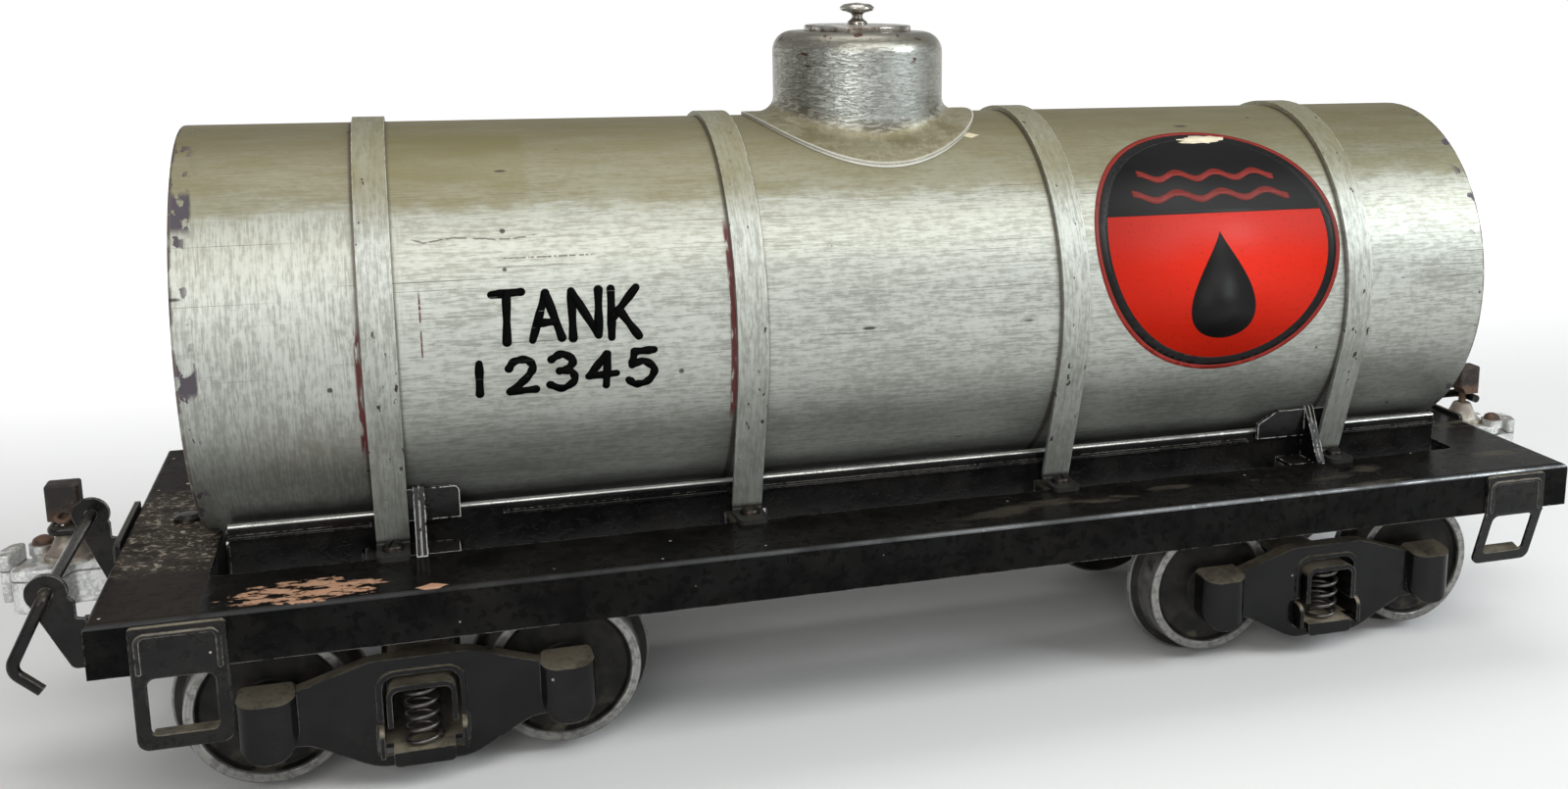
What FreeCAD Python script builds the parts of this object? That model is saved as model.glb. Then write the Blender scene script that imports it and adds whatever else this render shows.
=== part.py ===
import FreeCAD, Part
import math
import os
from FreeCAD import Vector as V

# A pressed-steel model tank wagon for 3 1/4 inch gauge track.
# Millimetres. Origin: on the ground under the middle of the wagon. +X runs along the wagon,
# +Y across it, +Z up. The wheels stand on their flanges at Z = 0.

X_AXIS = V(1, 0, 0)
Y_AXIS = V(0, 1, 0)
Z_AXIS = V(0, 0, 1)
ORIGIN = V(0, 0, 0)

# Deck: a folded pan with a long opening under the tank
DECK_TOP = 67.0
DECK_LENGTH = 444.5
DECK_WIDTH = 158.8
DECK_SKIRT = 14.2
DECK_SHEET = 1.5
DECK_FOLD = 1.7
OPENING_HALF_LENGTH = 196.5
OPENING_HALF_WIDTH = 52.0
DECK_UNDER = DECK_TOP - DECK_SHEET
DECK_END = DECK_LENGTH / 2
DECK_SIDE = DECK_WIDTH / 2

# Tank: a rolled shell with two pressed ends
TANK_RADIUS = 58.4
TANK_AXIS_Z = DECK_TOP + 56.85
TANK_HALF_LENGTH = 199.4
TANK_SHEET = 1.2
END_BULGE = 3.8
END_FLANGE = 9.0

# Dome, hatch lid and knob
DOME_X = -2.5
DOME_RADIUS = 27.0
DOME_TOP = DECK_TOP + 141.3
DOME_SHOULDER = 6.3
DOME_SHEET = 1.2
DOME_FILLET = 5.0
SKIRT_RADIUS = 37.2
FILLER_RADIUS = 13.0
LID_RADIUS = 16.9
LID_THICKNESS = 1.8
KNOB_RADIUS = 5.7
KNOB_HEIGHT = 6.8

# Tank straps
STRAP_X = (-150.0, -50.0, 50.0, 150.0)
STRAP_WIDTH = 8.8
STRAP_SHEET = 1.5
STRAP_GAP = 0.05
STRAP_LEAVES_TANK = math.radians(72.0)
FOOT_END_Y = 56.0
SCREW_Y = 49.4
SCREW_RADIUS = 1.5
SCREW_HEAD_RADIUS = 3.0

# Trucks
TRUCK_X = 145.0
HALF_WHEELBASE = 39.5
AXLE_Z = 26.0
TREAD_RADIUS = 22.0
FLANGE_RADIUS = 26.0
WHEEL_FACE_Y = 49.6
WHEEL_BACK_Y = 37.3
AXLE_RADIUS = 3.175
JOURNAL_RADIUS = 2.4
KINGPIN_RADIUS = 3.2
BOLSTER_TOP = 32.6
BOLSTER_HALF = 9.3
BOLSTER_END_Y = 60.5
TRUCK_SHEET = 1.5
PLANK_TOP = 13.2
FRAME_FACE_Y = 57.0
BOX_FACE_Y = 62.4
BOX_X = 39.7
BOX_HALF = 7.6
BOX_TOP = 34.6
BOX_LOW = 15.4
SPRING_Y = 54.8
SPRING_COIL_RADIUS = 4.6
SPRING_WIRE = 0.65
SPRING_TURNS = 5.5

# Couplers, drawn for the +X end: u runs outward along the wagon
DRAFT_PIN_U = 207.0
DRAFT_PIN_RADIUS = 2.5
LIFT_PIN_U = 238.0
LIFT_PIN_RADIUS = 1.4
KNUCKLE_PIN = (246.5, -7.5)
KNUCKLE_PIN_RADIUS = 1.6
HEAD_LOW = 46.5
HEAD_HIGH = 59.5
ROD_U = 230.5
ROD_Z = 74.0
ROD_RADIUS = 1.5
BRACKET_V = (9.0, 71.5)

RUNNING = 0.05


def box(x0, x1, y0, y1, z0, z1):
    return Part.makeBox(x1 - x0, y1 - y0, z1 - z0, V(x0, y0, z0))


def rod(radius, start, end):
    """Round bar from one point to another."""
    along = end - start
    return Part.makeCylinder(radius, along.Length, start, along)


def in_plane(plane, a, b, level):
    """Point (a, b) of a drawing plane at its level along the plane's normal."""
    if plane == "XY":
        return V(a, b, level)
    if plane == "XZ":
        return V(a, level, b)
    return V(level, a, b)


def rounded_edges(points, closed):
    """Straight runs through (point, radius) pairs, each corner rounded by its radius."""
    count = len(points)
    starts = []
    ends = []
    arcs = []
    for i, (corner, radius) in enumerate(points):
        is_end = not closed and i in (0, count - 1)
        if radius == 0 or is_end:
            starts.append(corner)
            ends.append(corner)
            arcs.append(None)
            continue
        to_last = (points[i - 1][0] - corner).normalize()
        to_next = (points[(i + 1) % count][0] - corner).normalize()
        half = to_last.getAngle(to_next) / 2
        reach = radius / math.tan(half)
        bisector = (to_last + to_next).normalize()
        first = corner + to_last * reach
        last = corner + to_next * reach
        middle = corner + bisector * (radius / math.sin(half) - radius)
        starts.append(first)
        ends.append(last)
        arcs.append(Part.Arc(first, middle, last).toShape())
    edges = []
    for i in range(count):
        if arcs[i] is not None:
            edges.append(arcs[i])
        if i == count - 1 and not closed:
            break
        run_end = starts[(i + 1) % count]
        if (run_end - ends[i]).Length > 1e-6:
            edges.append(Part.LineSegment(ends[i], run_end).toShape())
    return edges


def outline(corners, plane, level):
    """Closed face through (a, b) or (a, b, radius) corners of a drawing plane."""
    points = []
    for corner in corners:
        radius = corner[2] if len(corner) == 3 else 0
        points.append((in_plane(plane, corner[0], corner[1], level), radius))
    return Part.Face(Part.Wire(rounded_edges(points, True)))


def plate(corners, plane, low, high):
    """Flat plate of a given outline between two levels along the plane's normal."""
    normals = {"XY": Z_AXIS, "XZ": Y_AXIS, "YZ": X_AXIS}
    return outline(corners, plane, low).extrude(normals[plane] * (high - low))


def turned(corners, centre, axis):
    """Solid turned from (radius, height, corner radius) points about an axis through centre."""
    profile = outline(corners, "XZ", 0)
    solid = profile.revolve(ORIGIN, Z_AXIS, 360)
    solid.Placement = FreeCAD.Placement(centre, FreeCAD.Rotation(Z_AXIS, axis))
    return solid


def bent_wire(points, radius):
    """Round wire swept along straight runs joined by tangent bends."""
    path = Part.Wire(rounded_edges(points, False))
    start = points[0][0]
    along = (points[1][0] - start).normalize()
    section = Part.Wire(Part.Circle(start, along, radius).toShape())
    return path.makePipeShell([section], True, False)


def mirrored_y(shape):
    return shape.mirror(ORIGIN, Y_AXIS)


def half_turn(shape):
    turned_shape = shape.copy()
    turned_shape.rotate(ORIGIN, Z_AXIS, 180)
    return turned_shape


def moved(shape, x):
    copy = shape.copy()
    copy.translate(V(x, 0, 0))
    return copy


def joined(shapes):
    return shapes[0].multiFuse(shapes[1:]).removeSplitter()


def group(shapes):
    return Part.makeCompound(shapes)


def tank_cylinder(radius, half_length=300.0):
    start = V(-half_length, 0, TANK_AXIS_Z)
    return Part.makeCylinder(radius, 2 * half_length, start, X_AXIS)


def edges_where(shape, test):
    return [edge for edge in shape.Edges if test(edge)]


def save(shape, node):
    shape.exportStep("parts/" + node + ".step")


# ---------------------------------------------------------------- deck and underframe

def deck_pan():
    low = DECK_TOP - DECK_SKIRT
    pan = box(-DECK_END, DECK_END, -DECK_SIDE, DECK_SIDE, low, DECK_TOP)
    top_edges = edges_where(pan, lambda e: e.BoundBox.ZMin > DECK_TOP - 0.01)
    pan = pan.makeFillet(DECK_FOLD, top_edges)
    inside_x = DECK_END - DECK_SHEET
    inside_y = DECK_SIDE - DECK_SHEET
    pan = pan.cut(box(-inside_x, inside_x, -inside_y, inside_y, low - 1, DECK_UNDER))
    length = OPENING_HALF_LENGTH
    width = OPENING_HALF_WIDTH
    corner = 2.5
    opening = plate(
        [(-length, -width, corner), (length, -width, corner), (length, width, corner), (-length, width, corner)],
        "XY", DECK_UNDER - 1, DECK_TOP + 1)
    pan = pan.cut(opening).cut(tank_cylinder(TANK_RADIUS + 0.15, TANK_HALF_LENGTH + 0.4))
    notch_half = 9.0
    notch = box(-DECK_END - 1, DECK_END + 1, -notch_half, notch_half, low - 1, 61.0)
    pan = pan.cut(notch)
    for side in (-1, 1):
        pan = pan.cut(rod(DRAFT_PIN_RADIUS, V(side * DRAFT_PIN_U, 0, 60), V(side * DRAFT_PIN_U, 0, 70)))
    return pan


def body_bolster(x):
    """Folded cross channel under the deck that takes the kingpin."""
    half = 13.0
    end_y = DECK_SIDE - DECK_SHEET - 0.3
    low = 53.6
    top = DECK_UNDER - 0.1
    outer = plate(
        [(x - half, low), (x - half, top, 2.5), (x + half, top, 2.5), (x + half, low)],
        "XZ", -end_y, end_y)
    inside = half - DECK_SHEET
    inner = plate(
        [(x - inside, low - 1), (x - inside, top - DECK_SHEET, 1.0), (x + inside, top - DECK_SHEET, 1.0),
         (x + inside, low - 1)],
        "XZ", -end_y - 1, end_y + 1)
    # the side legs are cut back where they pass over the wheels
    channel = outer.cut(inner)
    screw_x = math.copysign(STRAP_X[3], x)
    for side in (-1, 1):
        near, far = sorted((side * 30.0, side * (end_y + 1)))
        channel = channel.cut(box(x - half - 1, x + half + 1, near, far, low - 1, 57.5))
        screw_y = side * SCREW_Y
        channel = channel.cut(rod(SCREW_RADIUS + RUNNING, V(screw_x, screw_y, 50), V(screw_x, screw_y, 70)))
    return channel.cut(rod(KINGPIN_RADIUS, V(x, 0, 40), V(x, 0, 70)))


def cradle_rail():
    """Rail along the near side: upright web, rounded top and a flange leaning in under the tank."""
    web = DECK_SHEET * 0.8
    face = -42.6
    top = DECK_TOP + 11.3
    inner_y = -31.6
    slope = 0.37
    inner_z = top - slope * (inner_y - face)
    section = plate(
        [(face, 58.0), (face, top, 1.6), (inner_y, inner_z), (inner_y, inner_z - web),
         (face + web, top - 2 * web, 0.5), (face + web, 58.0)],
        "YZ", -192.0, 194.0)
    ledge = plate(
        [(face - 1.6, 73.6, 0.3), (face + 0.4, 73.6), (face + 0.4, 74.5), (face - 1.6, 74.5, 0.3)],
        "YZ", -192.0, 194.0)
    for side in (-1, 1):
        low, high = sorted((side * 120.0, side * 155.5))
        ledge = ledge.cut(box(low, high, face - 3, face, 70, 78))
        # the web is notched over the body bolster with its saddle feet, and over the crossbar
        for notch_x, notch_half in ((TRUCK_X, 13.3), (STRAP_X[2], 6.3)):
            low, high = sorted((side * (notch_x - notch_half), side * (notch_x + notch_half)))
            section = section.cut(box(low, high, face - 1, face + 2, 50, DECK_TOP + 0.15))
    return joined([section, ledge])


def crossbar(x):
    """Channel across the deck opening, dished for the tank, its end tongues lapped under the deck."""
    half = 6.0
    low = 58.5
    width = OPENING_HALF_WIDTH - 0.2
    outer = plate([(x - half, low), (x - half, DECK_TOP, 1.8), (x + half, DECK_TOP, 1.8), (x + half, low)],
                  "XZ", -width, width)
    inside = half - DECK_SHEET
    bar = outer.cut(box(x - inside, x + inside, -width - 1, width + 1, low - 1, DECK_UNDER))
    tongue_top = DECK_UNDER - 0.1
    for side in (-1, 1):
        start, end = sorted((side * (width - 6.0), side * (width + 8.0)))
        tongue = box(x - inside, x + inside, start, end, tongue_top - DECK_SHEET, tongue_top)
        joint = box(x - inside, x + inside, *sorted((side * (width - 6.0), side * (width - 1.0))),
                    tongue_top - DECK_SHEET, DECK_UNDER)
        bar = joined([bar, tongue, joint])
    bar = bar.cut(tank_cylinder(TANK_RADIUS + 0.1))
    for side in (-1, 1):
        bar = bar.cut(rod(SCREW_RADIUS + RUNNING, V(x, side * SCREW_Y, 50), V(x, side * SCREW_Y, 70)))
    return bar


def saddle_bracket(x_plate, outward, tab_reach, tab_slope):
    """One near-side saddle bracket: a gusset shaped to the tank with a foot flange and a side tab."""
    thickness = 1.4
    low = DECK_UNDER + 0.02
    tank_gap = TANK_RADIUS + 0.1
    inner_y = -17.0
    arc_top_y = -43.4
    top_z = TANK_AXIS_Z - math.sqrt(tank_gap ** 2 - arc_top_y ** 2)
    x0, x1 = sorted((x_plate, x_plate + outward * thickness))
    foot_y = -OPENING_HALF_WIDTH + 0.1
    toe_z = DECK_TOP + 0.05
    gusset = plate(
        [(foot_y, low), (foot_y, toe_z), (-54.0, toe_z), (-53.6, toe_z + 0.9, 0.4), (-44.4, top_z, 1.2),
         (inner_y, top_z), (inner_y, low)],
        "YZ", x0, x1)
    foot_reach = 10.2
    fx0, fx1 = sorted((x_plate, x_plate + outward * foot_reach))
    foot = box(fx0, fx1, foot_y, -17.0, low, DECK_TOP)
    tab_top = DECK_TOP + 16.7
    tab_low = DECK_TOP + 7.5
    reach = x_plate + outward * tab_reach
    tab_corners = [(reach, tab_top, 1.6)]
    if tab_slope:
        tab_corners = [(reach - outward * tab_slope, tab_top, 1.6), (reach, tab_top - 0.6 * tab_slope, 1.0)]
    tab = plate(
        [(x_plate, tab_low), (x_plate, tab_top, 1.6)] + tab_corners + [(reach, tab_low)],
        "XZ", -44.4, -43.0)
    bracket = joined([gusset, foot, tab])
    bracket = bracket.cut(tank_cylinder(tank_gap))
    # the cradle rail passes through a slot above the foot
    slot = box(x_plate - 20, x_plate + 20, -42.8, -31.0, DECK_TOP, 78.9)
    return bracket.cut(slot)


def saddle_group(side):
    """Back-to-back bracket pairs on both sides of the wagon over one truck."""
    centre = side * 142.5
    inboard = saddle_bracket(centre - side * 0.05, -side, 10.8, 0)
    if side > 0:
        inboard = saddle_bracket(centre - side * 0.05, -side, 19.0, 7.0)
    outboard = saddle_bracket(centre + side * 0.05, side, 10.0, 0)
    hole = rod(SCREW_RADIUS + RUNNING, V(side * 150, -SCREW_Y, 60), V(side * 150, -SCREW_Y, 70))
    outboard = outboard.cut(hole)
    pair = [inboard, outboard]
    return group(pair + [mirrored_y(bracket) for bracket in pair])


def step(side_x, bend_degrees):
    """Pressed stirrup step on the near side, its top edge folded over the deck."""
    low_x, high_x = sorted((side_x * 190.0, side_x * 212.5))
    thickness = 1.1
    face = -DECK_SIDE - thickness
    bottom = DECK_TOP - 34.5
    hinge_z = DECK_TOP - DECK_SKIRT
    window_inset = 3.4
    inner_low = low_x + window_inset
    inner_high = high_x - window_inset
    top = DECK_TOP - 1.5
    upper = plate([(low_x, hinge_z), (low_x, top, 1.2), (high_x, top, 1.2), (high_x, hinge_z)],
                  "XZ", face, -DECK_SIDE)
    softened = 0.4
    upper = upper.makeFillet(softened, edges_where(
        upper, lambda e: e.BoundBox.YMax < face + 0.01 and e.BoundBox.ZMax > hinge_z + 0.01))
    bead_inset = 1.9
    bead_low = V(low_x + bead_inset, face, hinge_z + 0.3)
    bead_high = V(high_x - bead_inset, face, hinge_z + 0.3)
    rise = V(0, 0, top - bead_inset - 0.4 - bead_low.z)
    bead = bent_wire([(bead_low, 0), (bead_low + rise, 2.0), (bead_high + rise, 2.0), (bead_high, 0)], 0.5)
    upper = joined([upper, bead])
    lower = plate([(low_x, bottom, 3.0), (low_x, hinge_z), (high_x, hinge_z), (high_x, bottom, 3.0)],
                  "XZ", face, -DECK_SIDE)
    window_top = hinge_z - 1.2
    window_low = bottom + 4.0
    window = plate(
        [(inner_low, window_low, 1.6), (inner_low, window_top, 2.2), (inner_high, window_top, 2.2),
         (inner_high, window_low, 1.6)],
        "XZ", face - 1, -DECK_SIDE + 1)
    # the bottom edge of the window is turned inwards as the tread
    tread = plate(
        [(inner_low, window_low, 0.8), (inner_high, window_low, 0.8), (inner_high, window_low - 1.1),
         (inner_low, window_low - 1.1)],
        "XZ", -DECK_SIDE - 0.5, -DECK_SIDE + 3.4)
    lower = lower.cut(window)
    lower = lower.makeFillet(softened, edges_where(
        lower, lambda e: e.BoundBox.YMax < face + 0.01 and e.BoundBox.ZMin < hinge_z - 0.01))
    lower = joined([lower, tread])
    if bend_degrees:
        lower.rotate(V(0, -DECK_SIDE, hinge_z), X_AXIS, bend_degrees)
        wedge = Part.makeCylinder(thickness, high_x - low_x, V(low_x, -DECK_SIDE, hinge_z), X_AXIS)
        wedge = wedge.common(box(low_x, high_x, face - 1, -DECK_SIDE, hinge_z - 3, hinge_z + 0.01))
        lower = lower.fuse(wedge)
    return joined([upper, lower])


def draft_pocket():
    """Box under the deck end that holds the coupler shank, with the striker plate on the skirt."""
    u_in = 199.0
    u_out = DECK_END - DECK_SHEET - 0.1
    roof = box(u_in, u_out, -12.0, 12.0, 63.9, DECK_UNDER - 0.1)
    floor = box(u_in, u_out, -12.0, 12.0, 43.6, 45.1)
    wall = box(u_in, u_in + 1.5, -12.0, 12.0, 43.6, 65.0)
    inside = box(u_in, u_out, -12.0, -10.6, 43.6, 65.0)
    pocket = joined([roof, floor, wall, inside, mirrored_y(inside)])
    pocket = pocket.cut(rod(DRAFT_PIN_RADIUS, V(DRAFT_PIN_U, 0, 40), V(DRAFT_PIN_U, 0, 70)))
    u0 = DECK_END + 0.02
    striker = plate(
        [(-20.0, 42.5, 2.0), (-20.0, DECK_TOP + 1.2, 1.5), (20.0, DECK_TOP + 1.2, 1.5), (20.0, 42.5, 2.0)],
        "YZ", u0, u0 + 1.4)
    mouth = box(u0 - 1, u0 + 3, -8.4, 8.4, 45.1, 61.0)
    return group([pocket, striker.cut(mouth)])


def draft_pin():
    shank = rod(DRAFT_PIN_RADIUS - 0.02, V(DRAFT_PIN_U, 0, 43.0), V(DRAFT_PIN_U, 0, DECK_TOP))
    head = turned([(0, 0), (4.2, 0), (4.0, 1.0, 0.3), (2.4, 1.8, 0.6), (0, 1.9)], V(DRAFT_PIN_U, 0, DECK_TOP), Z_AXIS)
    foot = rod(3.6, V(DRAFT_PIN_U, 0, 42.0), V(DRAFT_PIN_U, 0, 43.5))
    return joined([shank, head, foot])


def lever_bracket(v, u_face):
    """Upright bracket on the deck end with a round eye for the uncoupling lever."""
    half = 0.75
    blade = plate(
        [(u_face, 53.6, 0.5), (u_face + 4.0, 53.6, 2.0), (ROD_U + 4.2, ROD_Z - 2.4, 3.0), (ROD_U, ROD_Z + 3.5, 2.0),
         (u_face + 2.2, ROD_Z - 3.0, 1.0), (u_face + 2.2, 66.8, 0.4), (u_face, 66.3, 0.4)],
        "XZ", v - half, v + half)
    eye = rod(4.8, V(ROD_U, v - half, ROD_Z), V(ROD_U, v + half, ROD_Z))
    foot = plate([(v - half, 54.0), (v + 6.2, 54.0, 1.5), (v + 6.2, 65.4, 1.5), (v - half, 65.4)],
                 "YZ", u_face, u_face + 1.2)
    if v > 40:
        foot = plate([(v + half, 54.0), (v - 6.2, 54.0, 1.5), (v - 6.2, 65.4, 1.5), (v + half, 65.4)],
                     "YZ", u_face, u_face + 1.2)
    bore = rod(ROD_RADIUS + RUNNING, V(ROD_U, v - 3, ROD_Z), V(ROD_U, v + 3, ROD_Z))
    return joined([blade, eye, foot]).cut(bore)


def lever_brackets():
    inner_face = DECK_END + 1.45
    outer_face = DECK_END + 0.02
    return group([lever_bracket(BRACKET_V[0], inner_face), lever_bracket(BRACKET_V[1], outer_face)])


# ---------------------------------------------------------------- tank

def tank_shell():
    outer = tank_cylinder(TANK_RADIUS, TANK_HALF_LENGTH)
    rims = edges_where(outer, lambda e: isinstance(e.Curve, Part.Circle))
    outer = outer.makeFillet(0.8, rims)
    return outer.cut(tank_cylinder(TANK_RADIUS - TANK_SHEET, TANK_HALF_LENGTH + 5))


def tank_end():
    """Dished end cap with a flange inside the shell, for the +X end."""
    radius = TANK_RADIUS - TANK_SHEET - 0.1
    rim_x = TANK_HALF_LENGTH - 0.6
    crown = TANK_HALF_LENGTH + END_BULGE
    dish_radius = (radius ** 2 + (crown - rim_x) ** 2) / (2 * (crown - rim_x))
    ball = Part.makeSphere(dish_radius, V(crown - dish_radius, 0, TANK_AXIS_Z))
    start = V(TANK_HALF_LENGTH - END_FLANGE, 0, TANK_AXIS_Z)
    plug = Part.makeCylinder(radius, END_FLANGE + END_BULGE + 2, start, X_AXIS).common(ball)
    knuckle = edges_where(plug, lambda e: isinstance(e.Curve, Part.Circle) and e.BoundBox.XMin > rim_x - 0.5)
    plug = plug.makeFillet(1.6, knuckle)
    inner_ball = Part.makeSphere(dish_radius - TANK_SHEET, V(crown - dish_radius, 0, TANK_AXIS_Z))
    inner = Part.makeCylinder(radius - TANK_SHEET, END_FLANGE + 8, start - X_AXIS, X_AXIS).common(inner_ball)
    return plug.cut(inner)


def dome():
    """Pressed dome with a skirt that lies on the tank and a filler hole in its crown."""
    base = V(DOME_X, 0, TANK_AXIS_Z)
    tower = Part.makeCylinder(DOME_RADIUS, DOME_TOP - TANK_AXIS_Z, base, Z_AXIS)
    skirt_zone = Part.makeCylinder(SKIRT_RADIUS, 100.0, base, Z_AXIS)
    skin = tank_cylinder(TANK_RADIUS + 1.1, 60).common(skirt_zone)
    body = tower.fuse(skin).removeSplitter()

    def is_base_edge(edge):
        middle = edge.valueAt((edge.FirstParameter + edge.LastParameter) / 2)
        reach = math.hypot(middle.x - DOME_X, middle.y)
        return abs(reach - DOME_RADIUS) < 0.05 and TANK_AXIS_Z + 20 < middle.z < DOME_TOP - 5

    body = body.makeFillet(DOME_FILLET, edges_where(body, is_base_edge))
    top_edge = edges_where(body, lambda e: e.BoundBox.ZMin > DOME_TOP - 0.01 and isinstance(e.Curve, Part.Circle))
    body = body.makeFillet(DOME_SHOULDER, top_edge)
    well = Part.makeCylinder(DOME_RADIUS - DOME_SHEET, DOME_TOP - DOME_SHEET - TANK_AXIS_Z, base, Z_AXIS)
    well_top = edges_where(well, lambda e: e.BoundBox.ZMin > DOME_TOP - DOME_SHEET - 0.01)
    well = well.makeFillet(DOME_SHOULDER - DOME_SHEET, well_top)
    body = body.cut(well).cut(tank_cylinder(TANK_RADIUS + 0.05))
    return body.cut(Part.makeCylinder(FILLER_RADIUS, 20, V(DOME_X, 0, DOME_TOP - 10), Z_AXIS))


def hatch_lid():
    low = DOME_TOP + 0.05
    disc = turned(
        [(0, 0), (LID_RADIUS, 0), (LID_RADIUS, LID_THICKNESS, 0.7), (LID_RADIUS - 3.0, LID_THICKNESS + 0.2, 1.0),
         (0, LID_THICKNESS + 0.2)],
        V(DOME_X, 0, low), Z_AXIS)
    spigot = Part.makeCylinder(FILLER_RADIUS - 0.4, 4.5, V(DOME_X, 0, low - 4.4), Z_AXIS)
    spigot = spigot.cut(Part.makeCylinder(FILLER_RADIUS - 1.6, 6, V(DOME_X, 0, low - 5.4), Z_AXIS))
    lid = joined([disc, spigot])
    return lid.cut(Part.makeCylinder(1.4, 10, V(DOME_X, 0, low - 5), Z_AXIS))


def hatch_knob():
    """Turned knob: a spread foot, a waist, a mushroom head and a stud through the lid."""
    seat = DOME_TOP + 0.05 + LID_THICKNESS + 0.2
    neck = 1.7
    return turned(
        [(0, -2.6), (1.38, -2.6), (1.38, 0), (3.2, 0), (3.1, 0.8, 0.3), (neck, 1.9, 0.8), (neck, 3.4, 1.0),
         (KNOB_RADIUS - 0.6, 4.3, 1.2), (KNOB_RADIUS, 5.2, 0.6), (KNOB_RADIUS - 1.6, 6.3, 1.6), (0, KNOB_HEIGHT)],
        V(DOME_X, 0, seat), Z_AXIS)


def tank_strap(x):
    """Flat strap over the tank, straight below it, ending in a foot with a screw hole each side."""
    inner = TANK_RADIUS + STRAP_GAP
    outer = inner + STRAP_SHEET
    low = DECK_TOP + 0.05
    high = low + STRAP_SHEET
    sine = math.sin(STRAP_LEAVES_TANK)
    cosine = math.cos(STRAP_LEAVES_TANK)

    def leaves(radius):
        return V(x, -radius * sine, TANK_AXIS_Z - radius * cosine)

    def lands(radius, z):
        start = leaves(radius)
        drop = (start.z - z) / sine
        return V(x, start.y + drop * cosine, z)

    def flipped(point):
        return V(point.x, -point.y, point.z)

    foot_low = V(x, -FOOT_END_Y, low)
    foot_high = V(x, -FOOT_END_Y, high)
    near_in = rounded_edges([(foot_low, 0), (lands(inner, low), 2.1), (leaves(inner), 0)], False)
    near_out = rounded_edges([(foot_high, 0), (lands(outer, high), 0.6), (leaves(outer), 0)], False)
    far_in = [edge.mirror(ORIGIN, Y_AXIS) for edge in near_in]
    far_out = [edge.mirror(ORIGIN, Y_AXIS) for edge in near_out]
    arc_in = Part.Arc(leaves(inner), V(x, 0, TANK_AXIS_Z + inner), flipped(leaves(inner))).toShape()
    arc_out = Part.Arc(leaves(outer), V(x, 0, TANK_AXIS_Z + outer), flipped(leaves(outer))).toShape()
    ends = [Part.LineSegment(foot_low, foot_high).toShape(),
            Part.LineSegment(flipped(foot_low), flipped(foot_high)).toShape()]
    edges = Part.__sortEdges__(near_in + near_out + far_in + far_out + [arc_in, arc_out] + ends)
    strap = Part.Face(Part.Wire(edges)).extrude(V(STRAP_WIDTH, 0, 0))
    strap.translate(V(-STRAP_WIDTH / 2, 0, 0))
    for side in (-1, 1):
        strap = strap.cut(rod(SCREW_RADIUS + RUNNING, V(x, side * SCREW_Y, 60), V(x, side * SCREW_Y, 72)))
    foot_corners = edges_where(
        strap, lambda e: abs(e.CenterOfMass.y) > FOOT_END_Y - 0.01 and e.BoundBox.ZLength > 1.0)
    return strap.makeFillet(2.0, foot_corners)


def strap_screw(x, y):
    """Round-head slotted screw through a strap foot."""
    seat = DECK_TOP + 0.05 + STRAP_SHEET
    head = turned(
        [(0, 0), (SCREW_HEAD_RADIUS, 0), (SCREW_HEAD_RADIUS - 0.2, 1.2, 0.8), (1.4, 2.2, 2.0), (0, 2.3)],
        V(x, y, seat), Z_AXIS)
    slot = box(x - 4, x + 4, y - 0.35, y + 0.35, seat + 1.4, seat + 3)
    slot.rotate(V(x, y, seat), Z_AXIS, 35 + x)
    shank = rod(SCREW_RADIUS, V(x, y, 60.5), V(x, y, seat + 0.5))
    return joined([head.cut(slot), shank])


# ---------------------------------------------------------------- trucks, drawn about X = 0

def kingpin(x):
    """Shouldered pin: the shoulder spaces the truck from the body, the pin takes the swivel."""
    shoulder = rod(9.5, V(x, 0, BOLSTER_TOP + 0.05), V(x, 0, 63.7))
    pin = rod(KINGPIN_RADIUS - RUNNING, V(x, 0, 27.0), V(x, 0, BOLSTER_TOP + 1))
    stud = rod(KINGPIN_RADIUS - 0.03, V(x, 0, 63.0), V(x, 0, 65.3))
    circle = [V(x + 5.2 * math.cos(math.radians(60 * i)), 5.2 * math.sin(math.radians(60 * i)), 25.5) for i in range(6)]
    nut = Part.Face(Part.makePolygon(circle + [circle[0]])).extrude(V(0, 0, 4.0))
    return joined([shoulder, pin, stud, nut])


def truck_bolster():
    """Folded inverted channel across the truck that sits on the springs."""
    low = 20.5
    outer = plate(
        [(-BOLSTER_HALF, low), (-BOLSTER_HALF, BOLSTER_TOP, 3.4), (BOLSTER_HALF, BOLSTER_TOP, 3.4), (BOLSTER_HALF, low)],
        "XZ", -BOLSTER_END_Y, BOLSTER_END_Y)
    inside = BOLSTER_HALF - TRUCK_SHEET
    roof = BOLSTER_TOP - TRUCK_SHEET
    inner = plate([(-inside, low - 1), (-inside, roof, 1.9), (inside, roof, 1.9), (inside, low - 1)],
                  "XZ", -BOLSTER_END_Y - 1, BOLSTER_END_Y + 1)
    bore = rod(KINGPIN_RADIUS, V(0, 0, 20), V(0, 0, 40))
    return outer.cut(inner).cut(bore)


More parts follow.
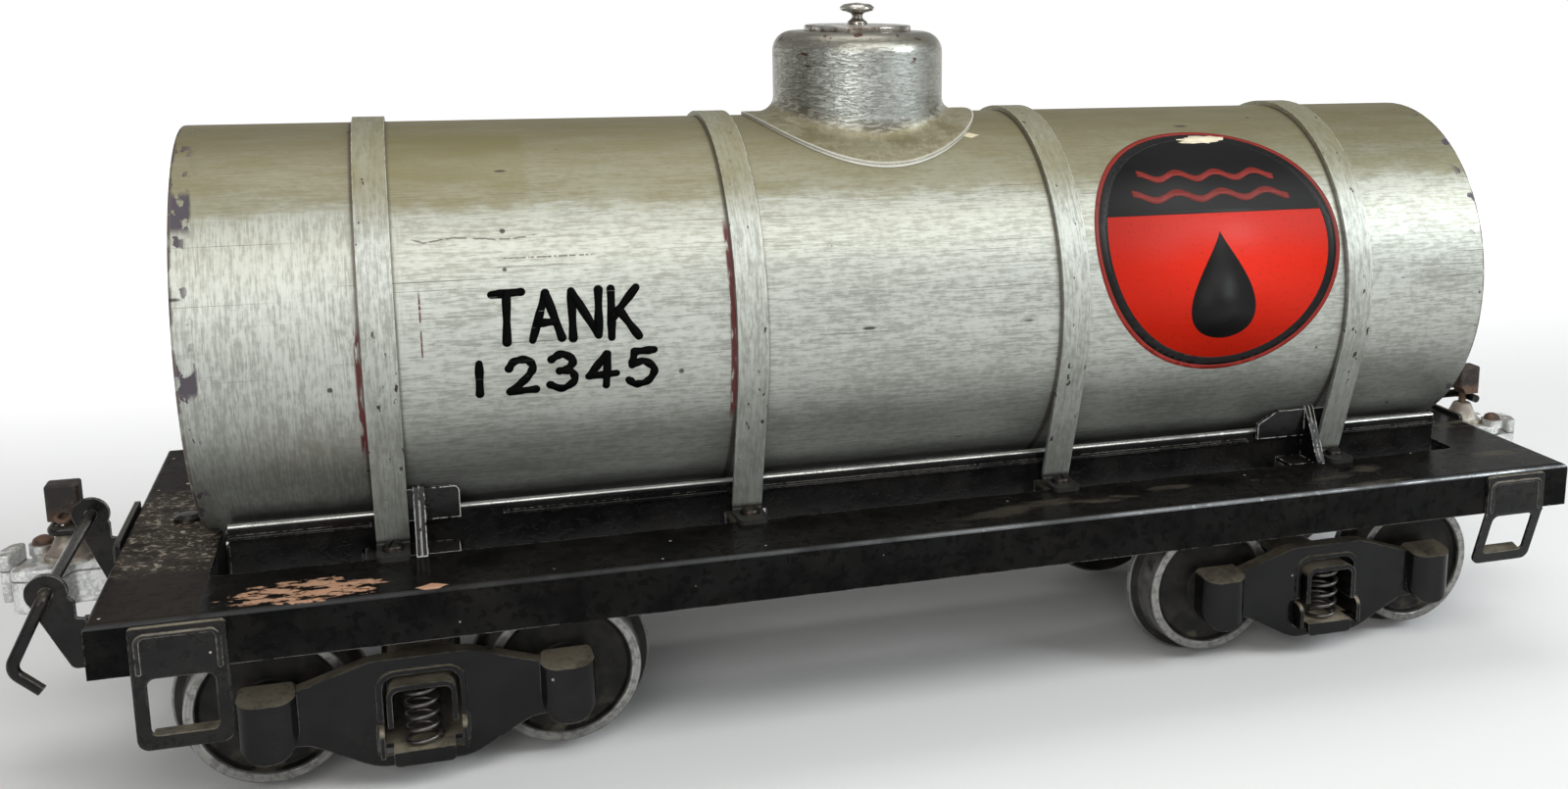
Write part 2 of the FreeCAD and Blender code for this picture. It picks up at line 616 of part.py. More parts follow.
def spring_plank():
    """Upright channel tying the side frames together; its end tongues seat the springs."""
    low = PLANK_TOP - 1.4
    end = 61.0
    half = 11.6
    wall = 1.3
    base = box(-half, half, -end, end, low, PLANK_TOP)
    flange = plate([(-end, low), (-end, 20.0, 3.0), (end, 20.0, 3.0), (end, low)], "YZ", -half, -half + wall)
    other = plate([(-end, low), (-end, 20.0, 3.0), (end, 20.0, 3.0), (end, low)], "YZ", half - wall, half)
    plank = joined([base, flange, other])
    for side in (-1, 1):
        y0, y1 = sorted((side * 54.0, side * (end + 1)))
        for edge in (-1, 1):
            x0, x1 = sorted((edge * 8.2, edge * (half - wall)))
            plank = plank.cut(box(x0, x1, y0, y1, low - 1, PLANK_TOP + 1))
    lips = []
    for side in (-1, 1):
        y0, y1 = sorted((side * (end - 1.4), side * end))
        lip = plate([(-8.2, 8.9, 1.5), (8.2, 8.9, 1.5), (8.2, PLANK_TOP), (-8.2, PLANK_TOP)], "XZ", y0, y1)
        lips.append(lip)
    return joined([plank] + lips)


def frame_outline(y0, y1, drop):
    """Truck side frame silhouette, optionally lowered."""
    corners = [(-36.0, 17.4), (-29.5, 17.0, 9.0), (-12.5, 7.7, 14.0), (12.5, 7.7, 14.0), (29.5, 17.0, 9.0), (36.0, 17.4),
               (36.0, 32.8), (31.0, 33.6, 12.0), (13.0, 39.4, 16.0), (-13.0, 39.4, 16.0), (-31.0, 33.6, 12.0),
               (-36.0, 32.8)]
    lowered = [(c[0], c[1] - drop) + tuple(c[2:]) for c in corners]
    return plate(lowered, "XZ", y0, y1)


def journal_box(centre):
    """Pressed journal box: rounded like a pocket in plan and below, its top sloping to the front lip."""
    half = BOX_HALF
    back = -52.2
    front = -BOX_FACE_Y
    plan = plate(
        [(centre - half, back), (centre - half, front, 5.2), (centre + half, front, 5.2), (centre + half, back)],
        "XY", BOX_LOW - 1, BOX_TOP + 1)
    upright = plate(
        [(centre - half, BOX_TOP, 2.2), (centre + half, BOX_TOP, 2.2), (centre + half, BOX_LOW, half * 0.93),
         (centre - half, BOX_LOW, half * 0.93)],
        "XZ", front - 1, back)
    lip_z = BOX_TOP - 2.4
    slope = plate(
        [(front - 1, BOX_LOW - 1), (front - 1, lip_z), (front, lip_z, 1.8), (back + 3, BOX_TOP + 0.6, 1.0),
         (back + 3, BOX_LOW - 1)],
        "YZ", centre - half - 1, centre + half + 1)
    return plan.common(upright).common(slope)


def side_frame():
    """Near-side pressed truck frame with two journal boxes, a top flange and the spring window."""
    face = -FRAME_FACE_Y
    panel = frame_outline(face, face + 1.6, 0)
    rim = frame_outline(face, -52.0, 0).cut(frame_outline(face - 1, -51.0, 1.5))
    rim = rim.common(box(-36.0, 36.0, face, -52.0, 29.0, 45.0))
    pieces = [panel, rim]
    for side in (-1, 1):
        pieces.append(journal_box(side * BOX_X))
    # pressed lip round the spring window
    lip_face = face - 0.7
    lip = plate([(-11.9, 21.6), (11.9, 21.6), (11.9, 36.1, 5.2), (-11.9, 36.1, 5.2)], "XZ", lip_face, face + 0.5)
    lip_front = edges_where(lip, lambda e: e.BoundBox.YMax < lip_face + 0.01 and e.BoundBox.ZMax > 21.7)
    pieces.append(lip.makeFillet(0.5, lip_front))
    frame = joined(pieces)
    upper = plate([(-10.3, 19.0), (10.3, 19.0), (10.3, 34.5, 3.8), (-10.3, 34.5, 3.8)], "XZ", -70, -45)
    lower = plate([(-12.4, 10.9, 1.5), (12.4, 10.9, 1.5), (12.4, 20.9, 1.5), (-12.4, 20.9, 1.5)], "XZ", -70, -45)
    frame = frame.cut(upper).cut(lower)
    for side in (-1, 1):
        start = V(side * HALF_WHEELBASE, -59.5, AXLE_Z)
        frame = frame.cut(rod(JOURNAL_RADIUS + RUNNING, start, V(side * HALF_WHEELBASE, -50.0, AXLE_Z)))
    return frame


def coil_spring(y):
    """Open coil spring standing on the plank under one bolster end."""
    low = PLANK_TOP + 0.05 + SPRING_WIRE
    high = BOLSTER_TOP - TRUCK_SHEET - 0.05 - SPRING_WIRE
    pitch = (high - low) / SPRING_TURNS
    helix = Part.makeHelix(pitch, high - low, SPRING_COIL_RADIUS)
    start = V(SPRING_COIL_RADIUS, 0, 0)
    section = Part.Wire(Part.Circle(start, Y_AXIS, SPRING_WIRE).toShape())
    coil = Part.Wire(helix).makePipeShell([section], True, True)
    coil.translate(V(0, y, low))
    return coil


def wheel(side):
    """Cast wheel: coned tread, flange inboard, dished face with a hub."""
    back = WHEEL_BACK_Y
    face = WHEEL_FACE_Y
    profile = [
        (AXLE_RADIUS + 0.02, back), (20.0, back), (FLANGE_RADIUS - 0.6, back), (FLANGE_RADIUS, back + 0.9, 0.5),
        (FLANGE_RADIUS - 0.5, back + 2.1, 0.8), (TREAD_RADIUS + 0.5, back + 3.4, 1.0), (TREAD_RADIUS, face, 0.6),
        (19.4, face, 0.4), (18.2, face - 2.4, 0.8), (8.0, face - 1.6, 1.0), (6.6, face + 0.2, 0.5),
        (AXLE_RADIUS + 0.02, face + 0.2)]
    solid = turned(profile, V(0, 0, 0), Y_AXIS)
    if side < 0:
        solid = mirrored_y(solid)
    solid.translate(V(0, 0, AXLE_Z))
    return solid


def axle():
    shaft = rod(AXLE_RADIUS, V(0, -51.2, AXLE_Z), V(0, 51.2, AXLE_Z))
    journals = rod(JOURNAL_RADIUS, V(0, -59.2, AXLE_Z), V(0, 59.2, AXLE_Z))
    return joined([shaft, journals])


# ---------------------------------------------------------------- couplers, drawn for the +X end

def coupler_head():
    """Cast coupler: shank, head with a guard arm, a raised boss and two lugs for the knuckle."""
    shank_half = 5.0
    pin_u, pin_v = KNUCKLE_PIN
    body = plate(
        [(DRAFT_PIN_U - 6.0, -shank_half, 4.5), (228.0, -shank_half, 3.0), (236.5, -9.0, 3.0), (246.0, -11.8, 4.2),
         (250.9, -7.6, 3.0), (246.6, -2.0, 2.0), (244.2, 1.2, 2.5), (248.2, 3.9, 2.0), (252.2, 4.6, 1.4),
         (252.4, 9.8, 2.8), (246.5, 11.4, 3.0), (239.5, 11.0, 3.5), (237.0, shank_half, 2.0),
         (DRAFT_PIN_U - 6.0, shank_half, 4.5)],
        "XY", HEAD_LOW, HEAD_HIGH)
    rims = edges_where(
        body, lambda e: e.BoundBox.ZMin > HEAD_HIGH - 0.01 or e.BoundBox.ZMax < HEAD_LOW + 0.01)
    body = body.makeFillet(0.8, rims)
    boss = turned([(0, 0), (7.3, 0), (7.3, 1.9, 0.5), (6.0, 1.9, 0.6), (3.2, 8.0, 0.6), (0, 8.0)],
                  V(LIFT_PIN_U, 0, HEAD_HIGH - 0.5), Z_AXIS)
    lug = rod(3.9, V(pin_u, pin_v, HEAD_HIGH - 1), V(pin_u, pin_v, 61.6))
    head = joined([body, boss, lug])
    slot = Part.makeCylinder(6.3, 6.6, V(pin_u, pin_v, 49.7), Z_AXIS)
    head = head.cut(slot)
    head = head.cut(rod(LIFT_PIN_RADIUS + RUNNING, V(LIFT_PIN_U, 0, 50.0), V(LIFT_PIN_U, 0, 70)))
    head = head.cut(rod(DRAFT_PIN_RADIUS + RUNNING, V(DRAFT_PIN_U, 0, 40), V(DRAFT_PIN_U, 0, 70)))
    return head.cut(rod(KNUCKLE_PIN_RADIUS + 0.01, V(pin_u, pin_v, 40), V(pin_u, pin_v, 70)))


def knuckle():
    """Swinging claw: a hub between the lugs and a full-height nose curled over the mouth."""
    pin_u, pin_v = KNUCKLE_PIN
    low = 50.0
    high = 56.0
    hub = Part.makeCylinder(4.0, high - low, V(pin_u, pin_v, low), Z_AXIS)
    arm = plate([(pin_u, pin_v - 3.9), (255.0, -10.8, 1.5), (256.5, -6.0, 1.0), (252.8, -4.4, 1.0), (pin_u, pin_v + 3.9)],
                "XY", low, high)
    nose = plate(
        [(251.2, -11.6, 1.2), (255.6, -10.2, 2.5), (257.6, -4.6, 2.5), (256.6, 0.4, 1.4), (253.6, 0.2, 1.4),
         (253.4, -4.2, 1.2)],
        "XY", HEAD_LOW + 0.4, 61.2)
    rims = edges_where(nose, lambda e: e.BoundBox.ZMin > 61.19 or e.BoundBox.ZMax < HEAD_LOW + 0.41)
    nose = nose.makeFillet(0.6, rims)
    nose = nose.cut(Part.makeCylinder(5.9, 20, V(pin_u, pin_v, 45), Z_AXIS))
    claw = joined([hub, arm, nose])
    return claw.cut(rod(KNUCKLE_PIN_RADIUS + RUNNING, V(pin_u, pin_v, 40), V(pin_u, pin_v, 70)))


def knuckle_rivet():
    pin_u, pin_v = KNUCKLE_PIN
    shank = rod(KNUCKLE_PIN_RADIUS, V(pin_u, pin_v, HEAD_LOW - 0.1), V(pin_u, pin_v, 62.0))
    head = turned([(0, 0), (3.1, 0), (2.7, 1.4, 1.0), (1.2, 2.2, 1.2), (0, 2.3)], V(pin_u, pin_v, 61.62), Z_AXIS)
    tail = turned([(0, 0), (2.8, 0), (2.3, 1.0, 0.5), (0, 1.2)], V(pin_u, pin_v, HEAD_LOW - 0.02), V(0, 0, -1))
    return joined([shank, head, tail])


def lift_block():
    """Locking pin with a square block on top, lifted by the uncoupling lever, and an eye on its side."""
    block = box(234.2, 242.9, -3.5, 3.5, 71.0, 81.5)
    upright = edges_where(block, lambda e: e.BoundBox.ZLength > 5)
    block = block.makeFillet(0.9, upright)
    top = edges_where(block, lambda e: e.BoundBox.ZMin > 81.49)
    block = block.makeFillet(0.7, top)
    scoop = rod(3.0, V(233.6, -5, 71.0), V(233.6, 5, 71.0))
    pin = rod(LIFT_PIN_RADIUS, V(LIFT_PIN_U, 0, 52.0), V(LIFT_PIN_U, 0, 72.0))
    eye = Part.makeTorus(1.9, 0.7, V(238.2, 4.9, 72.7), V(0, 0.53, 0.85))
    return joined([block.cut(scoop), pin, eye])


def uncoupling_lever():
    """One bent rod: hooked handle, long shaft through both brackets, and a crank under the block."""
    handle_v = 75.5
    crank_v = 6.2
    crank_z = 68.9
    points = [
        (V(232.9, handle_v, 50.2), 0), (V(239.4, handle_v, 56.4), 3.6), (V(ROD_U, handle_v, ROD_Z), 2.4),
        (V(ROD_U, crank_v, ROD_Z), 2.3), (V(ROD_U + 0.5, crank_v, crank_z), 2.3), (V(241.4, crank_v, crank_z), 2.4),
        (V(241.4, -4.0, crank_z), 0)]
    return bent_wire(points, ROD_RADIUS)


# ---------------------------------------------------------------- the assembly

os.makedirs("parts", exist_ok=True)

save(deck_pan(), "deck_pan")
near_rail = cradle_rail()
save(near_rail, "cradle_rail_near")
save(mirrored_y(near_rail), "cradle_rail_far")
save(group([crossbar(STRAP_X[1]), crossbar(STRAP_X[2])]), "crossbars")

save(tank_shell(), "tank_shell")
right_end = tank_end()
save(right_end, "tank_end_right")
save(half_turn(right_end), "tank_end_left")
save(dome(), "dome")
save(hatch_lid(), "hatch_lid")
save(hatch_knob(), "hatch_knob")
for number, strap_x in enumerate(STRAP_X, start=1):
    save(tank_strap(strap_x), "tank_strap_" + str(number))
save(group([strap_screw(x, side * SCREW_Y) for x in STRAP_X for side in (-1, 1)]), "strap_screws")

save(step(-1, 0), "step_left_near")
save(step(1, 17), "step_right_near")
save(mirrored_y(step(-1, 0)), "step_left_far")
save(mirrored_y(step(1, 0)), "step_right_far")

save(group([kingpin(-TRUCK_X), kingpin(TRUCK_X)]), "kingpins")
pocket = draft_pocket()
save(group([pocket, half_turn(pocket)]), "draft_pockets")
save(group([draft_pin(), half_turn(draft_pin())]), "draft_pins")

near_frame = side_frame()
for end, truck_x in (("left", -TRUCK_X), ("right", TRUCK_X)):
    save(saddle_group(-1 if end == "left" else 1), "saddle_brackets_" + end)
    save(body_bolster(truck_x), "body_bolster_" + end)
    save(moved(truck_bolster(), truck_x), "truck_bolster_" + end)
    save(moved(spring_plank(), truck_x), "spring_plank_" + end)
    save(moved(near_frame, truck_x), "side_frame_" + end + "_near")
    save(moved(mirrored_y(near_frame), truck_x), "side_frame_" + end + "_far")
    save(moved(group([coil_spring(-SPRING_Y), coil_spring(SPRING_Y)]), truck_x), "springs_" + end)
    outward = -1 if end == "left" else 1
    for place, axle_x in (("outer", outward * HALF_WHEELBASE), ("inner", -outward * HALF_WHEELBASE)):
        save(moved(axle(), truck_x + axle_x), "axle_" + end + "_" + place)
        save(moved(wheel(-1), truck_x + axle_x), "wheel_" + end + "_" + place + "_near")
        save(moved(wheel(1), truck_x + axle_x), "wheel_" + end + "_" + place + "_far")

coupler_parts = {
    "lever_brackets": lever_brackets(),
    "coupler_head": coupler_head(),
    "knuckle": knuckle(),
    "knuckle_rivet": knuckle_rivet(),
    "lift_block": lift_block(),
    "uncoupling_lever": uncoupling_lever(),
}
for name, shape in coupler_parts.items():
    save(shape, name + "_right")
    save(half_turn(shape), name + "_left")
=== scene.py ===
import math
import random

import bmesh
import bpy
from mathutils import Matrix, Vector


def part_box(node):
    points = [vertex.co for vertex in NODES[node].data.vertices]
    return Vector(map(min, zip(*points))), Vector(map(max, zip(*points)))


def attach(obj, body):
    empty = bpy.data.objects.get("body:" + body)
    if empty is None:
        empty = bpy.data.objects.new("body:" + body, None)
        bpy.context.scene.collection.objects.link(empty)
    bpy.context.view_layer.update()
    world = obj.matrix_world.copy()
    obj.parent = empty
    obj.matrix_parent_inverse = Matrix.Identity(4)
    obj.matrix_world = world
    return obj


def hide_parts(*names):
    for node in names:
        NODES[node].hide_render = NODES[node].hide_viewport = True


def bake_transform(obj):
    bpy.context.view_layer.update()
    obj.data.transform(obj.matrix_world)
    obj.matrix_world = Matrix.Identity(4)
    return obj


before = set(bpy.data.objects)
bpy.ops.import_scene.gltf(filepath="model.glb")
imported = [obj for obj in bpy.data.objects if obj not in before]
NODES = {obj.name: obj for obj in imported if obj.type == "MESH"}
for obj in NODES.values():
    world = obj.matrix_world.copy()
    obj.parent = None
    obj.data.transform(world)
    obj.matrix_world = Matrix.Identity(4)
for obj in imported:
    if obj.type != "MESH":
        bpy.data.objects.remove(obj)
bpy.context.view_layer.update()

MM = 0.001

# ---------------------------------------------------------------- places taken from the frame

SHELL_LOW, SHELL_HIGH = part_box("tank_shell")
TANK_R = (SHELL_HIGH.y - SHELL_LOW.y) / 2
TANK_Z = (SHELL_HIGH.z + SHELL_LOW.z) / 2
TANK_END = SHELL_HIGH.x
DECK_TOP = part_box("deck_pan")[1].z
RAIL_TOP = DECK_TOP + 11.3 * MM
DOME_LOW, DOME_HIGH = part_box("dome")
DOME_X = (DOME_LOW.x + DOME_HIGH.x) / 2
STRAPS = [sum(c.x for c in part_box("tank_strap_" + str(n))) / 2 for n in (1, 2, 3, 4)]
STRAP_HALF = (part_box("tank_strap_1")[1].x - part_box("tank_strap_1")[0].x) / 2
TRUCK_X = sum(c.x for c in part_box("truck_bolster_right")) / 2
AXLE_X = sum(c.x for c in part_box("axle_right_outer")) / 2
AXLE_Z = sum(c.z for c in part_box("axle_right_outer")) / 2
BLOCK_X = sum(c.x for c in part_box("lift_block_right")) / 2
BLOCK_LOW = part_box("lift_block_right")[1].z - 10.5 * MM
HEAD_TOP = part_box("coupler_head_right")[1].z - 7.5 * MM
COUPLER_SEAM = HEAD_TOP - 3.2 * MM
ENDS = ("left", "right")


# ---------------------------------------------------------------- node tree helper

class Value:
    """A shader node's output that arithmetic works on."""

    def __init__(self, graph, socket):
        self.graph = graph
        self.socket = socket

    def __add__(self, other):
        return self.graph.maths("ADD", self, other)

    def __radd__(self, other):
        return self.graph.maths("ADD", other, self)

    def __sub__(self, other):
        return self.graph.maths("SUBTRACT", self, other)

    def __rsub__(self, other):
        return self.graph.maths("SUBTRACT", other, self)

    def __mul__(self, other):
        return self.graph.maths("MULTIPLY", self, other)

    def __rmul__(self, other):
        return self.graph.maths("MULTIPLY", other, self)

    def __truediv__(self, other):
        return self.graph.maths("DIVIDE", self, other)

    def __abs__(self):
        return self.graph.maths("ABSOLUTE", self)


class Graph:
    """Builds one material's node tree with short calls. Lengths are in metres."""

    def __init__(self, name, seed=0.0):
        self.material = bpy.data.materials.new(name)
        self.material.use_nodes = True
        self.tree = self.material.node_tree
        self.shader = self.tree.nodes["Principled BSDF"]
        self.seed = seed
        coordinates = self.tree.nodes.new("ShaderNodeTexCoord")
        parts = self.tree.nodes.new("ShaderNodeSeparateXYZ")
        self.tree.links.new(coordinates.outputs["Object"], parts.inputs[0])
        self.x, self.y, self.z = (Value(self, out) for out in parts.outputs)

    def feed(self, socket, value):
        if isinstance(value, Value):
            self.tree.links.new(value.socket, socket)
        elif isinstance(value, tuple) and len(value) == 3 and len(socket.default_value) == 4:
            socket.default_value = value + (1.0,)
        else:
            socket.default_value = value

    def maths(self, operation, *values):
        node = self.tree.nodes.new("ShaderNodeMath")
        node.operation = operation
        for socket, value in zip(node.inputs, values):
            self.feed(socket, value)
        return Value(self, node.outputs[0])

    def vector(self, x, y, z=0.0):
        node = self.tree.nodes.new("ShaderNodeCombineXYZ")
        for socket, value in zip(node.inputs, (x, y, z)):
            self.feed(socket, value)
        return Value(self, node.outputs[0])

    def point(self, sx, sy=None, sz=None):
        """Object coordinates, stretched by a number of cycles per metre along each axis."""
        sy = sx if sy is None else sy
        sz = sx if sz is None else sz
        return self.vector(self.x * sx + self.seed, self.y * sy, self.z * sz)

    def noise(self, vector, detail=3.0, roughness=0.5):
        node = self.tree.nodes.new("ShaderNodeTexNoise")
        self.feed(node.inputs["Vector"], vector)
        node.inputs["Scale"].default_value = 1.0
        node.inputs["Detail"].default_value = detail
        node.inputs["Roughness"].default_value = roughness
        return Value(self, node.outputs["Fac"])

    def cells(self, vector):
        """Distance to the nearest cell point, and a random number for that cell."""
        node = self.tree.nodes.new("ShaderNodeTexVoronoi")
        self.feed(node.inputs["Vector"], vector)
        node.inputs["Scale"].default_value = 1.0
        split = self.tree.nodes.new("ShaderNodeSeparateColor")
        self.tree.links.new(node.outputs["Color"], split.inputs[0])
        return Value(self, node.outputs["Distance"]), Value(self, split.outputs[0])

    def above(self, value, level, soft):
        """0 below level, 1 above it, with a smooth step of half-width soft."""
        node = self.tree.nodes.new("ShaderNodeMapRange")
        node.interpolation_type = "SMOOTHSTEP"
        self.feed(node.inputs["Value"], value)
        self.feed(node.inputs["From Min"], level - soft)
        self.feed(node.inputs["From Max"], level + soft)
        return Value(self, node.outputs["Result"])

    def below(self, value, level, soft):
        return 1.0 - self.above(value, level, soft)

    def between(self, value, low, high, soft):
        return self.above(value, low, soft) * self.below(value, high, soft)

    def spots(self, vector, size, share):
        """Round spots: size is their radius in cells, share the part of the cells that has one."""
        distance, pick = self.cells(vector)
        return self.below(distance, pick * size / share, size * 0.25) * self.below(pick, share, 0.01)

    def mix(self, factor, first, second):
        node = self.tree.nodes.new("ShaderNodeMix")
        node.data_type = "RGBA"
        self.feed(node.inputs["Factor"], factor)
        self.feed(node.inputs[6], first)
        self.feed(node.inputs[7], second)
        return Value(self, node.outputs[2])

    def length(self, across, up):
        """Length of the vector with these two parts."""
        return self.maths("SQRT", across * across + up * up)

    def blend(self, factor, first, second):
        """Number between first and second."""
        return self.maths("MULTIPLY_ADD", factor, second - first, first)

    def normal_z(self):
        geometry = self.tree.nodes.new("ShaderNodeNewGeometry")
        parts = self.tree.nodes.new("ShaderNodeSeparateXYZ")
        self.tree.links.new(geometry.outputs["Normal"], parts.inputs[0])
        return Value(self, parts.outputs[2])

    def edges(self, radius):
        """Near 1 on the outer and inner edges of the mesh, 0 on its flat and smooth faces."""
        geometry = self.tree.nodes.new("ShaderNodeNewGeometry")
        bevel = self.tree.nodes.new("ShaderNodeBevel")
        bevel.samples = 4
        bevel.inputs["Radius"].default_value = radius
        dot = self.tree.nodes.new("ShaderNodeVectorMath")
        dot.operation = "DOT_PRODUCT"
        self.tree.links.new(bevel.outputs[0], dot.inputs[0])
        self.tree.links.new(geometry.outputs["Normal"], dot.inputs[1])
        return self.below(Value(self, dot.outputs["Value"]), 0.93, 0.06)

    def corners(self, reach):
        """Near 1 where faces close in on each other, 0 in the open."""
        node = self.tree.nodes.new("ShaderNodeAmbientOcclusion")
        node.samples = 6
        node.inputs["Distance"].default_value = reach
        return 1.0 - Value(self, node.outputs["AO"])

    def finish(self, colour, roughness, metallic=0.0, height=None, depth=0.1 * MM, **sockets):
        self.feed(self.shader.inputs["Base Color"], colour)
        self.feed(self.shader.inputs["Roughness"], roughness)
        self.feed(self.shader.inputs["Metallic"], metallic)
        for name, value in sockets.items():
            self.shader.inputs[name.replace("_", " ")].default_value = value
        if height is not None:
            bump = self.tree.nodes.new("ShaderNodeBump")
            bump.inputs["Distance"].default_value = depth
            self.feed(bump.inputs["Height"], height)
            self.tree.links.new(bump.outputs[0], self.shader.inputs["Normal"])
        return self.material


# ---------------------------------------------------------------- materials

SILVER_DARK = (0.30, 0.308, 0.275)
SILVER_MID = (0.41, 0.425, 0.385)
SILVER_LIGHT = (0.53, 0.55, 0.51)
VARNISH = (0.225, 0.198, 0.092)
RED_LEAD = (0.085, 0.009, 0.008)
RIM_PRIMER = (0.060, 0.048, 0.062)
OLD_CREAM = (0.72, 0.64, 0.46)
DUST = (0.235, 0.205, 0.150)
BLACK_DEEP = (0.0022, 0.0023, 0.0024)
BLACK_WORN = (0.0065, 0.0065, 0.0065)
BARE_STEEL = (0.42, 0.40, 0.37)
PRIMER_TAN = (0.36, 0.19, 0.11)

# Where the tank's paint is stained and worn, and where painted shade darkens it. An arc is the
# distance round the tank from its top line, in metres, and is negative on the near side.
VARNISH_EDGE = 0.038
WASH_EDGE = 0.058
TOP_EDGE = 0.034
LOW_SHADE_EDGE = 0.104
CROSS_STROKES_FROM = 0.050
PATCH_X = (-0.146, -0.109)
PATCH_ARC = (-0.0525, -0.018)
# strap number: arcs between which red paint shows beside it
RED_STRIPES = {0: (-0.119, -0.083), 1: (-0.116, -0.058)}
RIM_CHIPS = ((-0.054, -0.042), (-0.098, -0.088))
RIM_WIDTH = 0.0042
CREAM_X = 0.0272
CREAM_ARC = -0.0255
RULED_X = (-0.1170, -0.0930)
RULED_ARC = -0.0655
CRACK_X = (-0.1400, -0.1080)
CRACK_ARC = -0.0565
NICK_X = -0.1392
NICK_ARC = (-0.092, -0.074)
HAIR_LINES_ARC = (-0.098, -0.042)
SCRATCH_HALF = 0.00022

# Where the deck is worn, as x and y
FILM_EDGE_X = -0.1965
SCUFFED_Y = (-0.042, 0.026)
FLAKED_X = -0.1715
FLAKED_Y = -0.0712
SMALL_FLAKE_X = -0.1405
SMALL_FLAKE_Y = -0.0775


def silver_strokes(g, along, across):
    """Brushed aluminium paint: tone, roughness and height from short strokes laid along one direction."""
    hair = g.noise(g.vector(along * 260.0 + g.seed, across * 2500.0), 3.0, 0.6)
    fine = g.noise(g.vector(along * 120.0 + g.seed, across * 1250.0, 2.2), 4.0, 0.66)
    laps = g.noise(g.vector(along * 26.0, across * 190.0 + g.seed, 3.1), 3.0)
    cloud = g.noise(g.vector(along * 48.0 + g.seed, across * 62.0, 7.7), 5.0, 0.62)
    peel = g.noise(g.vector(along * 430.0, across * 560.0, g.seed), 3.0, 0.6)
    tone = hair * 0.22 + fine * 0.34 + laps * 0.10 + cloud * 0.14 + peel * 0.20
    light = g.mix(g.above(tone, 0.51, 0.07), SILVER_MID, SILVER_LIGHT)
    colour = g.mix(g.below(tone, 0.475, 0.05) * 0.8, light, SILVER_DARK)
    rough = 0.40 + cloud * 0.18
    return colour, rough, hair * 0.25 + fine * 0.45 + laps * 0.2 + peel * 1.1


def tank_arc(g):
    """Distance round the tank from its top line, negative on the near side."""
    return g.maths("ARCTAN2", g.y, g.z - TANK_Z) * TANK_R


def speckled(g, colour, along, across, dense=1.0):
    """Small dark specks and a few longer ticks."""
    place = g.vector(along * 130.0 * dense + g.seed, across * 130.0 * dense)
    specks = g.spots(place, 0.11, 0.16)
    ticks = g.spots(g.vector(along * 60.0, across * 240.0 + g.seed, 5.0), 0.16, 0.10)
    return g.mix(g.maths("MAXIMUM", specks, ticks) * 0.9, colour, (0.035, 0.03, 0.025))


